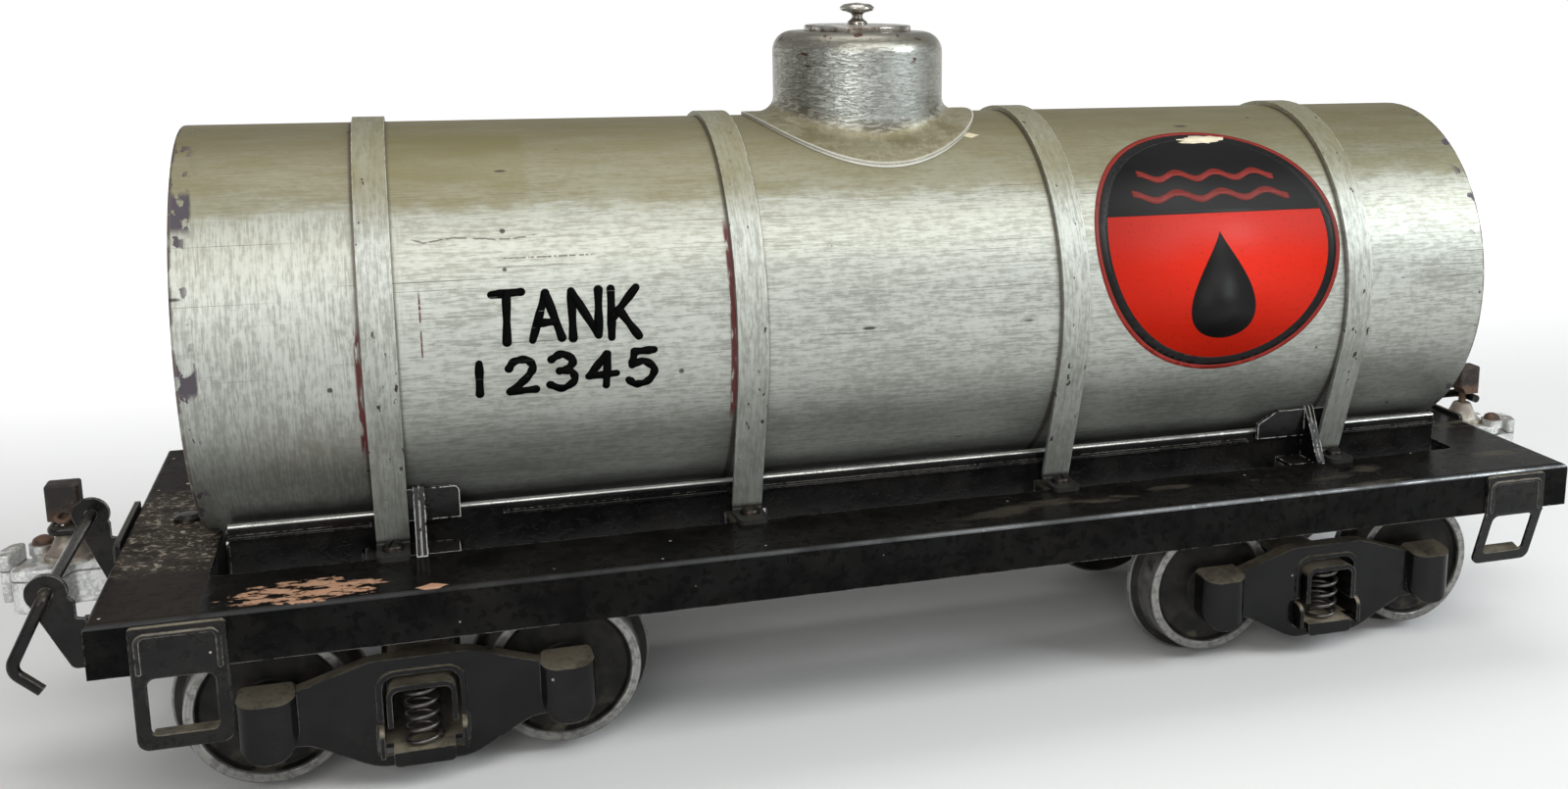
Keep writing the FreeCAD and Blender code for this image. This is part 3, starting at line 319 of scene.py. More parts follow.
def tank_material():
    g = Graph("tank_silver", 1.3)
    arc = tank_arc(g)
    colour, rough, height = silver_strokes(g, g.x, arc)
    # the left end was brushed the other way
    cross, cross_rough, cross_height = silver_strokes(g, arc, g.x)
    wander = g.noise(g.vector(g.x * 30.0, arc * 30.0, 2.0), 2.0)
    left_end = g.below(g.x, STRAPS[0] + (wander - 0.5) * 0.05, 0.004)
    left_end = left_end * g.above(abs(arc), CROSS_STROKES_FROM, 0.003)
    colour = g.mix(left_end, colour, cross)
    height = g.blend(left_end, height, cross_height)
    # old varnish over the top third, darker in one patch beside the first strap
    drift = g.noise(g.vector(g.x * 22.0, 0.0, 4.0), 4.0) * 0.016
    drift = drift + g.noise(g.vector(g.x * 150.0, arc * 600.0), 3.0) * 0.008
    varnish = g.below(abs(arc), drift + VARNISH_EDGE, 0.0035)
    top = g.below(abs(arc), TOP_EDGE, 0.022)
    streaky = g.noise(g.vector(g.x * 38.0, arc * 170.0, 9.0), 5.0, 0.62)
    patch = g.between(g.x, *PATCH_X, 0.0015) * g.between(arc, *PATCH_ARC, 0.004)
    strength = varnish * (0.28 + streaky * 0.60) + patch * 0.14 + varnish * top * 0.30
    wash = g.below(abs(arc), drift + WASH_EDGE, 0.014) * (0.10 + streaky * 0.28)
    colour = g.mix(wash, colour, (0.33, 0.31, 0.20))
    colour = g.mix(strength, colour, VARNISH)
    # thicker varnish and painted shade: the top line darkened
    colour = g.mix(top * 0.32, colour, (0.13, 0.115, 0.070))
    # painted shade: the lower third darkened towards grey
    grime_and_shade = g.above(abs(arc), LOW_SHADE_EDGE, 0.020) * (0.25 + cross_rough * 0.6)
    colour = g.mix(grime_and_shade, colour, (0.15, 0.155, 0.135))
    # grime and old red paint along the straps
    red_left = 0.0
    for number, strap in enumerate(STRAPS):
        ragged = g.noise(g.vector(g.x * 900.0, arc * 120.0, float(number)), 3.0)
        line = g.between(g.x, strap - STRAP_HALF - 0.0009, strap - STRAP_HALF + 0.001, 0.0004)
        colour = g.mix(line * 0.75, colour, (0.07, 0.05, 0.035))
        if number in RED_STRIPES:
            stripe = g.between(g.x, strap - STRAP_HALF - 0.0018, strap - STRAP_HALF, 0.0003)
            shown = stripe * g.between(arc, *RED_STRIPES[number], 0.003) * g.above(ragged, 0.44, 0.05)
            colour = g.mix(shown, colour, RED_LEAD)
            red_left = red_left + shown
        other = g.between(g.x, strap + STRAP_HALF - 0.001, strap + STRAP_HALF + 0.0007, 0.0004)
        colour = g.mix(other * 0.5, colour, (0.12, 0.10, 0.07))
    # chips down to the primer at the rims
    flake = g.noise(g.vector(g.x * 260.0, arc * 150.0, 1.0), 4.0)
    rim = g.above(abs(g.x), TANK_END - RIM_WIDTH, 0.002)
    large = g.maths("MAXIMUM", *(g.between(arc, *arcs, 0.0015) for arcs in RIM_CHIPS))
    large = large * g.below(g.x, RIM_WIDTH + flake * 0.002 - TANK_END, 0.0004)
    large = large * g.above(flake, 0.44, 0.02)
    chips = g.maths("MAXIMUM", rim * g.above(flake, 0.60, 0.012), large)
    worn_rim = g.above(abs(g.x), TANK_END - 0.0009, 0.0003) * g.above(flake, 0.45, 0.05)
    colour = g.mix(chips, colour, RIM_PRIMER)
    colour = g.mix(worn_rim * 0.8, colour, (0.12, 0.09, 0.08))
    # one cream chip beside the dome and a scatter of specks
    chip_edge = flake * 0.002
    cream = abs(g.x - CREAM_X) + abs(arc - CREAM_ARC) * 1.9
    cream = g.below(cream, 0.0022 + chip_edge, 0.0002)
    colour = g.mix(cream, colour, OLD_CREAM)
    colour = speckled(g, colour, g.x, arc)
    # thin scratches: loose hair lines, a ruled row of dots, a crack in the varnish, one down to the red
    scratch = g.noise(g.vector(g.x * 12.0, arc * 2600.0, 6.0), 1.0)
    faint = g.above(scratch, 0.71, 0.02) * g.between(arc, *HAIR_LINES_ARC, 0.004)
    ruled = g.below(abs(arc - RULED_ARC), SCRATCH_HALF, 0.00008) * g.between(g.x, *RULED_X, 0.0010)
    ruled = ruled * g.above(g.noise(g.vector(g.x * 900.0, 0.0, 2.0), 2.0), 0.47, 0.04)
    sway = g.noise(g.vector(g.x * 90.0, 0.0, 8.0), 3.0) * 0.006
    crack = g.below(abs(arc - CRACK_ARC + sway), SCRATCH_HALF, 0.00008)
    crack = crack * g.between(g.x, *CRACK_X, 0.0010)
    crack = crack * g.above(g.noise(g.vector(g.x * 260.0, 0.0, 3.0), 3.0), 0.45, 0.04)
    lines = g.maths("MAXIMUM", faint * 0.6, g.maths("MAXIMUM", ruled, crack) * 0.8)
    colour = g.mix(lines, colour, (0.07, 0.06, 0.05))
    nick = g.below(abs(g.x - NICK_X) + flake * 0.0004, 0.00042, 0.00012)
    nick = nick * g.between(arc, *NICK_ARC, 0.002)
    nick = nick * g.above(g.noise(g.vector(1.0, arc * 320.0, 5.0), 3.0), 0.46, 0.04)
    colour = g.mix(nick, colour, RED_LEAD)
    red_left = red_left + nick
    metallic = 0.66 - g.maths("MAXIMUM", chips, red_left) * 0.6
    return g.finish(colour, rough + strength * 0.06, metallic, height - chips * 2.5, 0.05 * MM)


def strap_material():
    g = Graph("strap_silver", 4.1)
    arc = tank_arc(g)
    colour, rough, height = silver_strokes(g, arc, g.x)
    top = g.below(abs(arc), 0.052, 0.010)
    smoky = g.noise(g.vector(g.x * 200.0, arc * 60.0, 6.0), 3.0)
    colour = g.mix(top * (0.45 + smoky * 0.5), colour, VARNISH)
    worn = g.edges(0.5 * MM) * g.above(g.noise(g.point(500.0), 3.0), 0.47, 0.05)
    colour = g.mix(worn * 0.55, colour, (0.75, 0.74, 0.70))
    # painted shade: the lower part of each strap darkened grey, as on the tank
    grime_and_shade = g.above(abs(arc), 0.096, 0.020) * (0.35 + smoky * 0.4)
    colour = g.mix(grime_and_shade, colour, (0.14, 0.145, 0.125))
    flake = g.noise(g.vector(g.x * 420.0 + 2.0, arc * 210.0), 4.0)
    low_chips = g.above(flake, 0.66, 0.01) * g.between(arc, -0.125, -0.085, 0.004)
    any_chips = g.above(flake, 0.70, 0.01)
    colour = g.mix(g.maths("MAXIMUM", low_chips, any_chips), colour, (0.045, 0.035, 0.03))
    colour = speckled(g, colour, g.x, arc, 0.8)
    foot = g.below(g.z, DECK_TOP + 3.2 * MM, 0.8 * MM)
    colour = g.mix(foot * 0.94, colour, (0.010, 0.009, 0.008))
    metallic = 0.62 - foot * 0.6
    return g.finish(colour, rough + 0.05 - foot * 0.2, metallic, height, 0.05 * MM, Specular_IOR_Level=0.25)


def tank_end_material():
    g = Graph("tank_end_silver", 6.2)
    colour, rough, height = silver_strokes(g, g.y, g.z)
    edge = g.above(g.length(g.y, g.z - TANK_Z), TANK_R - 5.0 * MM, 2.0 * MM)
    colour = g.mix(edge * 0.55, colour, (0.10, 0.08, 0.06))
    colour = g.mix(g.above(g.z, TANK_Z + 28.0 * MM, 12.0 * MM) * 0.35, colour, VARNISH)
    flake = g.noise(g.point(180.0), 4.0)
    colour = g.mix(g.above(flake, 0.68, 0.01), colour, RIM_PRIMER)
    colour = speckled(g, colour, g.y, g.z)
    return g.finish(colour, rough, 0.62, height, 0.05 * MM)


def dome_material():
    g = Graph("dome_silver", 8.8)
    turn = g.maths("ARCTAN2", g.y, g.x - DOME_X) * 0.027
    colour, rough, height = silver_strokes(g, turn, g.z)
    wrinkle = g.noise(g.vector(turn * 330.0 + g.seed, g.z * 1150.0), 3.5, 0.52)
    crackle = abs(wrinkle - 0.5)
    # the paint shrank most on the left of the dome; the rest dried smoother
    shrunk = 0.35 + g.below(turn, -0.0445, 0.010) * 0.65
    # height above the tank's surface: the flange hugs the tank, then the wall rises from a fillet
    rise = g.length(g.y, g.z - TANK_Z) - TANK_R
    skirt = g.below(rise, 3.4 * MM, 1.2 * MM)
    shoulder = g.above(g.z, DOME_HIGH.z - 4.5 * MM, 2.5 * MM)
    grime_and_shade = g.noise(g.point(90.0), 5.0, 0.6)
    body = 1.0 - g.maths("MAXIMUM", skirt, shoulder)
    colour = g.mix(body * 0.25, colour, (0.30, 0.315, 0.305))
    cracks = g.below(crackle, 0.022, 0.018) * shrunk * (0.20 + body * 0.55)
    colour = g.mix(cracks, colour, (0.075, 0.075, 0.058))
    # painted highlight: near-white glints on the wrinkle crests, most on the left
    colour = g.mix(g.above(wrinkle, 0.57, 0.04) * body * shrunk * 0.45, colour, (0.80, 0.82, 0.80))
    # painted shade: the dome's body darkened to olive towards its sides, patchy by the noise
    sides = g.above(abs(g.x - DOME_X), 19.5 * MM, 6.0 * MM) * body
    colour = g.mix(sides * (0.35 + grime_and_shade * 0.40), colour, (0.13, 0.118, 0.075))
    speck = g.above(g.noise(g.point(420.0), 4.0, 0.65), 0.54, 0.05)
    colour = g.mix(skirt * (0.65 + grime_and_shade * 0.4), colour, (0.21, 0.182, 0.088))
    colour = g.mix(skirt * speck * 0.35, colour, (0.40, 0.37, 0.28))
    colour = g.mix(skirt * g.above(grime_and_shade, 0.54, 0.05) * 0.40, colour, (0.13, 0.105, 0.050))
    colour = g.mix(shoulder * (0.40 + grime_and_shade * 0.5), colour, (0.18, 0.155, 0.105))
    fillet = g.between(rise, 2.6 * MM, 5.6 * MM, 1.0 * MM)
    colour = g.mix(fillet * g.above(grime_and_shade, 0.50, 0.05) * 0.6, colour, (0.13, 0.105, 0.065))
    colour = g.mix(fillet * g.above(wrinkle, 0.52, 0.04) * 0.45, colour, (0.62, 0.59, 0.50))
    colour = g.mix(g.corners(3.0 * MM) * 0.6, colour, (0.07, 0.058, 0.035))
    flake = g.noise(g.vector(turn * 150.0, g.z * 230.0, 3.0), 3.0)
    chips = g.above(flake, 0.635, 0.012) * g.above(g.z, DOME_HIGH.z - 9.0 * MM, 2.0 * MM)
    low_chips = g.above(flake, 0.735, 0.012)
    colour = g.mix(g.maths("MAXIMUM", chips, low_chips), colour, (0.10, 0.042, 0.032))
    # worn edge and painted highlight: a near-white line along the flange's edge
    edge = g.edges(1.2 * MM) * g.below(rise, 2.0 * MM, 0.5 * MM)
    colour = g.mix(edge * 0.95, colour, (0.86, 0.86, 0.82))
    colour = speckled(g, colour, turn, g.z)
    relief = height * 0.5 + wrinkle * 5.5 * shrunk * (0.30 + body * 0.70)
    return g.finish(colour, rough - 0.15 + skirt * 0.20, 0.85 - skirt * 0.30, relief, 0.08 * MM)


def black_enamel(name, seed, dust=0.5, pits=0.5, bright_edges=0.6, brown=0.3, gloss=0.2,
                 edge_tone=BARE_STEEL):
    """Old black enamel on steel. Returns its graph, colour, roughness and height for more layers."""
    g = Graph(name, seed)
    mottle = g.noise(g.point(55.0), 4.0, 0.6)
    grain = g.noise(g.point(700.0), 3.0)
    colour = g.mix(g.above(mottle, 0.52, 0.12), BLACK_DEEP, BLACK_WORN)
    stain = g.above(g.noise(g.point(38.0, 38.0, 90.0), 4.0), 0.60, 0.07)
    colour = g.mix(stain * brown, colour, (0.030, 0.022, 0.015))
    dull = g.above(g.noise(g.point(95.0), 4.0, 0.6), 0.50, 0.10) * pits
    colour = g.mix(dull * 0.7, colour, (0.0095, 0.0088, 0.0080))
    pitted = g.above(g.noise(g.point(330.0), 3.0, 0.6), 0.565, 0.03) * pits
    colour = g.mix(pitted, colour, (0.0015, 0.0014, 0.0013))
    specks = g.spots(g.point(240.0), 0.11, 0.05)
    colour = g.mix(specks, colour, (0.42, 0.39, 0.34))
    # edges brightened to edge_tone: worn paint, and a painted highlight where bright_edges is high
    worn_and_lit_edges = g.edges(0.45 * MM) * g.above(mottle * 0.6 + grain * 0.4, 0.50, 0.06)
    colour = g.mix(worn_and_lit_edges * bright_edges, colour, edge_tone)
    facing_up = g.above(g.normal_z(), 0.50, 0.35)
    drift = mottle * 0.4 + g.noise(g.point(160.0), 4.0) * 0.3 + g.noise(g.point(620.0), 3.0, 0.6) * 0.3
    settled = facing_up * (0.30 + g.above(drift, 0.48, 0.12) * 0.70)
    corner = g.corners(2.5 * MM) * facing_up
    dusty = g.maths("MINIMUM", (settled * 0.85 + corner * 0.3) * dust, 1.0)
    colour = g.mix(dusty, colour, DUST)
    rough = gloss + mottle * 0.14 + dusty * 0.5 + pitted * 0.1 + dull * 0.06
    height = grain * 0.2 + mottle * 0.8 - pitted * 1.2
    return g, colour, rough, height


def plain_enamel(name, seed, **finish):
    """Black enamel with no layers of its own."""
    g, colour, rough, height = black_enamel(name, seed, **finish)
    return g.finish(colour, rough, 0.0, height, 0.05 * MM, Specular_IOR_Level=0.24)


def bright_fold(g, top, share):
    """Mask of a painted highlight along a rounded top edge, strongest in patches."""
    fold = g.between(g.z, top - 1.6 * MM, top - 0.25 * MM, 0.25 * MM)
    fold = fold * g.between(g.normal_z(), 0.25, 0.93, 0.08)
    patchy = g.above(g.noise(g.vector(g.x * 42.0, g.y * 42.0, 1.0), 5.0, 0.6), 0.46, 0.12)
    return fold * (share + patchy * 0.45)


def rail_material():
    g, colour, rough, height = black_enamel("rail_black", 1.1, dust=0.03, bright_edges=0.5, brown=0.1,
                                            gloss=0.12)
    # painted highlight: a bright metallic line along the rail's rounded top edge
    fold_highlight_mask = bright_fold(g, RAIL_TOP, 0.45)
    colour = g.mix(fold_highlight_mask, colour, (0.50, 0.50, 0.48))
    return g.finish(colour, rough, fold_highlight_mask * 0.9, height, 0.05 * MM, Specular_IOR_Level=0.20)


def deck_material():
    g, colour, rough, height = black_enamel("deck_black", 2.2, dust=0.02, pits=0.7, bright_edges=0.35,
                                            brown=0.15, gloss=0.10)
    top = g.above(g.normal_z(), 0.8, 0.1)
    # the left end of the deck wears a thin brown film, scuffed beside the tank
    film = top * g.below(g.x, FILM_EDGE_X, 0.0006)
    colour = g.mix(film * 0.85, colour, (0.020, 0.0155, 0.012))
    swirl = g.noise(g.point(120.0), 2.0) * 4.0
    scuff_lines = g.noise(g.vector(g.x * 420.0 + swirl, g.y * 520.0 - swirl, 2.0), 5.0, 0.72)
    scuff_zone = film * g.between(g.y, *SCUFFED_Y, 0.008)
    haze = scuff_zone * g.above(g.noise(g.vector(g.x * 90.0, g.y * 160.0, 5.0), 4.0), 0.44, 0.10)
    colour = g.mix(haze * 0.6, colour, (0.060, 0.047, 0.033))
    scuffs = haze * g.above(scuff_lines, 0.555, 0.02)
    colour = g.mix(scuffs * 0.8, colour, (0.40, 0.35, 0.28))
    white = g.spots(g.vector(g.x * 260.0, g.y * 260.0, 4.0), 0.20, 0.12) * film
    colour = g.mix(white, colour, (0.62, 0.58, 0.52))
    # paint flaked off beside the left truck
    ragged = g.noise(g.vector(g.x * 120.0, g.y * 260.0, 3.0), 6.0, 0.68)
    along = (g.x - FLAKED_X) / 0.0175
    across = (g.y - FLAKED_Y) / 0.0085
    reach = g.length(along, across)
    flaked = top * g.below(reach + (ragged - 0.5) * 2.2, 0.95, 0.04)
    islands = g.noise(g.vector(g.x * 130.0, g.y * 310.0, 8.0), 6.0, 0.72)
    left_black = g.above(islands, 0.530, 0.012)
    small = abs(g.x - SMALL_FLAKE_X) * 0.55 + abs(g.y - SMALL_FLAKE_Y)
    small = g.below(small, 0.0015 + ragged * 0.0016, 0.0002) * top
    bare = g.maths("MAXIMUM", flaked * (1.0 - left_black), small)
    tan = g.mix(g.noise(g.point(260.0), 3.0), PRIMER_TAN, (0.50, 0.31, 0.21))
    colour = g.mix(bare, colour, tan)
    dusty = top * g.above(g.noise(g.vector(g.x * 25.0, g.y * 70.0, 6.0), 4.0), 0.61, 0.05)
    dusty = dusty * g.above(g.x, 0.02, 0.05)
    colour = g.mix(dusty * 0.22, colour, DUST)
    # painted highlight: a bright metallic line along the deck's rounded top fold, faint on the left half
    fold_highlight_mask = bright_fold(g, DECK_TOP, 0.25)
    fold_highlight_mask = fold_highlight_mask * (0.12 + g.above(g.x, 0.0, 0.10) * 0.88)
    colour = g.mix(fold_highlight_mask, colour, (0.30, 0.31, 0.32))
    rough = rough + film * 0.30 + bare * 0.55 + dusty * 0.25
    height = height * (1.0 - top * 0.65) - bare * 3.0
    return g.finish(colour, rough, fold_highlight_mask * 0.8, height, 0.06 * MM, Specular_IOR_Level=0.05)


def wheel_material():
    g = Graph("wheel_iron", 5.5)
    offset = abs(abs(g.x) - TRUCK_X) - (AXLE_X - TRUCK_X)
    drop = g.z - AXLE_Z
    radius = g.length(offset, drop)
    turn = g.maths("ARCTAN2", drop, offset)
    ragged = g.noise(g.point(170.0), 4.0)
    black = g.mix(g.above(ragged, 0.5, 0.15), (0.006, 0.006, 0.0055), (0.015, 0.014, 0.012))
    steel_tone = g.noise(g.vector(radius * 2200.0, turn * 3.0), 3.0)
    steel = g.mix(steel_tone, (0.16, 0.158, 0.150), (0.52, 0.515, 0.49))
    face = g.above(abs(g.y), 0.0490, 0.0003)
    ring = face * g.above(radius + (ragged - 0.5) * 0.0012, 0.0190, 0.0002)
    tread = g.between(abs(g.y), 0.0408, 0.0492, 0.0005) * g.above(radius, 0.0212, 0.0003)
    rolled = tread * g.above(steel_tone * 0.5 + ragged * 0.5, 0.47, 0.06)
    rim = g.above(radius, 0.0252, 0.0003)
    colour = g.mix(tread, black, (0.028, 0.024, 0.019))
    bare = g.maths("MAXIMUM", g.maths("MAXIMUM", ring, rim * 0.8), rolled * 0.35)
    colour = g.mix(bare, colour, steel)
    mottled = g.above(g.noise(g.point(420.0), 4.0, 0.7), 0.53, 0.05)
    colour = g.mix(mottled * bare * 0.45, colour, (0.05, 0.047, 0.040))
    # painted shade: the bare rim darkened where it is tucked up under the deck and behind the frame
    colour = g.mix(g.corners(24.0 * MM) * bare, colour, (0.020, 0.018, 0.015))
    low_inside = g.below(drop, -0.012, 0.006) * g.below(radius, 0.0190, 0.0006)
    dust = g.above(g.noise(g.point(130.0), 4.0), 0.55, 0.08) * (0.04 + low_inside * 0.22)
    colour = g.mix(dust, colour, DUST)
    rust = g.above(g.noise(g.point(240.0), 4.0), 0.60, 0.04) * (1.0 - ring)
    colour = g.mix(rust * 0.14, colour, (0.055, 0.033, 0.02))
    rough = 0.48 - bare * 0.12 + dust * 0.35
    height = g.noise(g.point(600.0), 3.0) * 0.5 + ragged * 0.5 - ring * 0.1
    return g.finish(colour, rough, bare * 0.6, height, 0.06 * MM, Specular_IOR_Level=0.2)


def cast_metal():
    g = Graph("cast_grey_metal", 7.1)
    blotch = g.noise(g.point(140.0), 4.0)
    grain = g.noise(g.point(1100.0), 3.0, 0.6)
    tone = blotch * 0.5 + grain * 0.5
    colour = g.mix(g.above(tone, 0.5, 0.10), (0.48, 0.485, 0.475), (0.84, 0.85, 0.83))
    dirt = g.corners(2.5 * MM) * 0.45 + g.above(tone, 0.58, 0.04) * 0.22
    colour = g.mix(g.maths("MINIMUM", dirt, 0.9), colour, (0.060, 0.050, 0.040))
    # parting line of the casting
    seam = g.between(g.z, COUPLER_SEAM - 0.25 * MM, COUPLER_SEAM + 0.25 * MM, 0.12 * MM)
    colour = g.mix(seam * 0.7, colour, (0.05, 0.045, 0.04))
    # rust and dust creep round the pin heads and up the boss below the lift block
    along = abs(g.x) - BLOCK_X
    boss = g.below(g.length(along, g.y), 8.2 * MM, 0.8 * MM)
    boss = boss * g.above(g.z, HEAD_TOP - 0.5 * MM, 0.5 * MM)
    upward = g.above(g.normal_z(), 0.6, 0.25) * g.above(g.z, HEAD_TOP - 1.5 * MM, 0.5 * MM)
    stain = g.noise(g.point(190.0), 4.0)
    brown = g.mix(g.above(stain, 0.5, 0.08), (0.26, 0.22, 0.155), (0.12, 0.075, 0.045))
    spread = boss * (0.45 + g.above(stain, 0.42, 0.1) * 0.4)
    colour = g.mix(g.maths("MAXIMUM", spread, upward * g.above(stain, 0.52, 0.05) * 0.6), colour, brown)
    colour = g.mix(g.edges(0.4 * MM) * (1.0 - boss) * 0.4, colour, (0.70, 0.70, 0.69))
    metal = 0.65 - boss * 0.5
    return g.finish(colour, 0.42 + blotch * 0.2, metal, grain + blotch - seam * 2.0, 0.12 * MM)


def rusty_iron():
    g = Graph("rusty_iron", 9.4)
    blotch = g.noise(g.point(220.0), 5.0, 0.6)
    grain = g.noise(g.point(1300.0), 3.0)
    colour = g.mix(g.above(blotch, 0.50, 0.08), (0.016, 0.013, 0.011), (0.040, 0.027, 0.021))
    low = g.below(g.z, BLOCK_LOW + 3.5 * MM, 1.5 * MM)
    colour = g.mix(low * (0.20 + g.above(blotch, 0.5, 0.06) * 0.4), colour, (0.16, 0.085, 0.050))
    colour = g.mix(g.above(grain * 0.5 + blotch * 0.5, 0.58, 0.03) * 0.4, colour, (0.12, 0.085, 0.065))
    colour = g.mix(g.edges(0.5 * MM) * 0.35, colour, (0.24, 0.20, 0.17))
    return g.finish(colour, 0.55 + blotch * 0.25, 0.2, grain + blotch * 2.0, 0.12 * MM)


def plated_metal():
    g = Graph("tarnished_plating", 3.7)
    ring = g.length(g.x - DOME_X, g.y)
    tarnish = g.noise(g.point(330.0), 4.0, 0.6)
    fine = g.noise(g.vector(ring * 2600.0, g.z * 900.0), 2.0)
    colour = g.mix(fine, (0.36, 0.35, 0.31), (0.66, 0.64, 0.59))
    brown = g.above(tarnish, 0.52, 0.12)
    lid_top = g.above(g.normal_z(), 0.8, 0.15) * g.above(ring, 6.5 * MM, 0.5 * MM)
    colour = g.mix(brown * (0.8 - lid_top * 0.55), colour, (0.085, 0.050, 0.030))
    colour = g.mix(g.corners(1.5 * MM) * 0.8, colour, (0.08, 0.05, 0.03))
    return g.finish(colour, 0.16 + brown * 0.3 + fine * 0.08, 0.95, fine * 0.4 + tarnish, 0.04 * MM)


def plain_steel(name, seed, dark, light, rough):
    g = Graph(name, seed)
    blotch = g.noise(g.point(300.0), 4.0)
    grain = g.noise(g.point(1400.0), 2.0)
    colour = g.mix(blotch, dark, light)
    dirt = g.corners(1.5 * MM) * 0.7 + g.above(grain * 0.4 + blotch * 0.6, 0.56, 0.05) * 0.4
    colour = g.mix(g.maths("MINIMUM", dirt, 0.85), colour, (0.09, 0.065, 0.045))
    return g.finish(colour, rough + blotch * 0.2, 0.85, grain + blotch, 0.05 * MM)


def emblem_material(name, tint, seed):
    """Printed transfer, rubbed by the brush strokes below it, with a painted sheen: paler across a band
    above its middle.
    """
    g = Graph(name, seed)
    arc = tank_arc(g)
    strokes = g.noise(g.vector(g.x * 45.0, arc * 1500.0), 4.0)
    rubbed = g.above(g.noise(g.vector(g.x * 700.0, arc * 900.0, 2.0), 3.0, 0.7), 0.63, 0.04)
    # painted highlight: the transfer paler across a band above its middle
    high = g.between(arc, -0.072, -0.050, 0.008)
    pale = tuple(0.62 * channel + 0.035 for channel in tint)
    colour = g.mix(high * 0.60 + strokes * 0.10, tint, pale)
    colour = g.mix(rubbed * 0.35, colour, (0.02, 0.012, 0.010))
    return g.finish(colour, 0.36 + strokes * 0.2, 0.0, strokes, 0.05 * MM, Specular_IOR_Level=0.15)


# ---------------------------------------------------------------- dress the CAD nodes

def dress(material, *names):
    """Gives the named CAD nodes one material."""
    for name in names:
        for holder in NODES[name].material_slots:
            holder.material = material


def both_ends(*stems):
    """Names of the left and right nodes of each stem."""
    return [stem + "_" + end for stem in stems for end in ENDS]


def dress_frame():
    dress(tank_material(), "tank_shell")
    dress(strap_material(), *["tank_strap_" + str(n) for n in (1, 2, 3, 4)])
    dress(tank_end_material(), *both_ends("tank_end"))
    dress(dome_material(), "dome")
    dress(deck_material(), "deck_pan")
    dress(rail_material(), "cradle_rail_near", "cradle_rail_far")
    # painted highlight: the saddles' edges drawn near white and strong
    saddles = plain_enamel("saddle_black", 1.9, dust=0.05, bright_edges=2.2, gloss=0.10, brown=0.1,
                           edge_tone=(0.78, 0.77, 0.74))
    dress(saddles, *both_ends("saddle_brackets"))
    under = plain_enamel("underframe_black", 3.3, dust=0.25, bright_edges=0.25, gloss=0.30)
    dress(under, "crossbars", "draft_pockets", *both_ends("body_bolster"))
    steps = plain_enamel("step_black", 4.6, dust=0.85, pits=0.9, bright_edges=0.9, brown=0.12, gloss=0.10)
    dress(steps, *["step_" + end + "_" + side for end in ENDS for side in ("near", "far")])
    trucks = plain_enamel("truck_black", 6.4, dust=1.25, pits=0.4, bright_edges=0.35, brown=0.03,
                          gloss=0.04)
    dress(trucks, *["side_frame_" + end + "_" + side for end in ENDS for side in ("near", "far")])
    dress(trucks, *both_ends("truck_bolster", "spring_plank"))
    levers = plain_enamel("lever_black", 8.1, dust=0.15, bright_edges=0.55, brown=0.4, gloss=0.10)
    dress(levers, *both_ends("uncoupling_lever", "lever_brackets"))
    dress(wheel_material(), *["wheel_" + end + "_" + place + "_" + side for end in ENDS
                              for place in ("outer", "inner") for side in ("near", "far")])
    dress(cast_metal(), *both_ends("coupler_head", "knuckle"))
    dress(rusty_iron(), *both_ends("lift_block", "knuckle_rivet"))
    dress(plated_metal(), "hatch_lid", "hatch_knob")
    pins = plain_steel("black_pin", 7.7, (0.012, 0.011, 0.010), (0.05, 0.045, 0.04), 0.25)
    dress(pins, "strap_screws", "kingpins", "draft_pins")
    steel = plain_steel("dull_steel", 2.9, (0.16, 0.15, 0.14), (0.34, 0.32, 0.30), 0.38)
    dress(steel, *["axle_" + end + "_" + place for end in ENDS for place in ("outer", "inner")])


# ---------------------------------------------------------------- pieces made here

def add_mesh(name, bm, material, body, smooth=True):
    mesh = bpy.data.meshes.new(name)
    bm.normal_update()
    for face in bm.faces:
        face.smooth = smooth
    bm.to_mesh(mesh)
    bm.free()
    piece = bpy.data.objects.new(name, mesh)
    bpy.context.scene.collection.objects.link(piece)
    mesh.materials.append(material)
    return piece


def wrap_on_tank(bm, lift, thickness):
    """Bends a flat patch of (x, arc) points round the tank and gives it a thickness."""
    step = 1.2 * MM
    lows = min(v.co.y for v in bm.verts)
    highs = max(v.co.y for v in bm.verts)
    level = lows + step
    while level < highs:
        everything = bm.verts[:] + bm.edges[:] + bm.faces[:]
        bmesh.ops.bisect_plane(bm, geom=everything, plane_co=(0, level, 0), plane_no=(0, 1, 0))
        level += step
    bmesh.ops.triangulate(bm, faces=bm.faces[:])
    outer_faces = bm.faces[:]
    grown = bmesh.ops.extrude_face_region(bm, geom=outer_faces)
    top = set(item for item in grown["geom"] if isinstance(item, bmesh.types.BMVert))
    for vert in bm.verts:
        radius = TANK_R + lift + (thickness if vert in top else 0.0)
        angle = vert.co.y / TANK_R
        vert.co = Vector((vert.co.x, radius * math.sin(angle), TANK_Z + radius * math.cos(angle)))
    bmesh.ops.recalc_face_normals(bm, faces=bm.faces[:])


def flat_region(outlines):
    """Flat faces between an outer outline and, if there is one, an inner outline of as many points."""
    bm = bmesh.new()
    rings = [[bm.verts.new((x, arc, 0)) for x, arc in outline] for outline in outlines]
    if len(rings) == 1:
        bm.faces.new(rings[0])
    else:
        count = len(rings[0])
        for i in range(count):
            j = (i + 1) % count
            bm.faces.new((rings[0][i], rings[0][j], rings[1][j], rings[1][i]))
    return bm


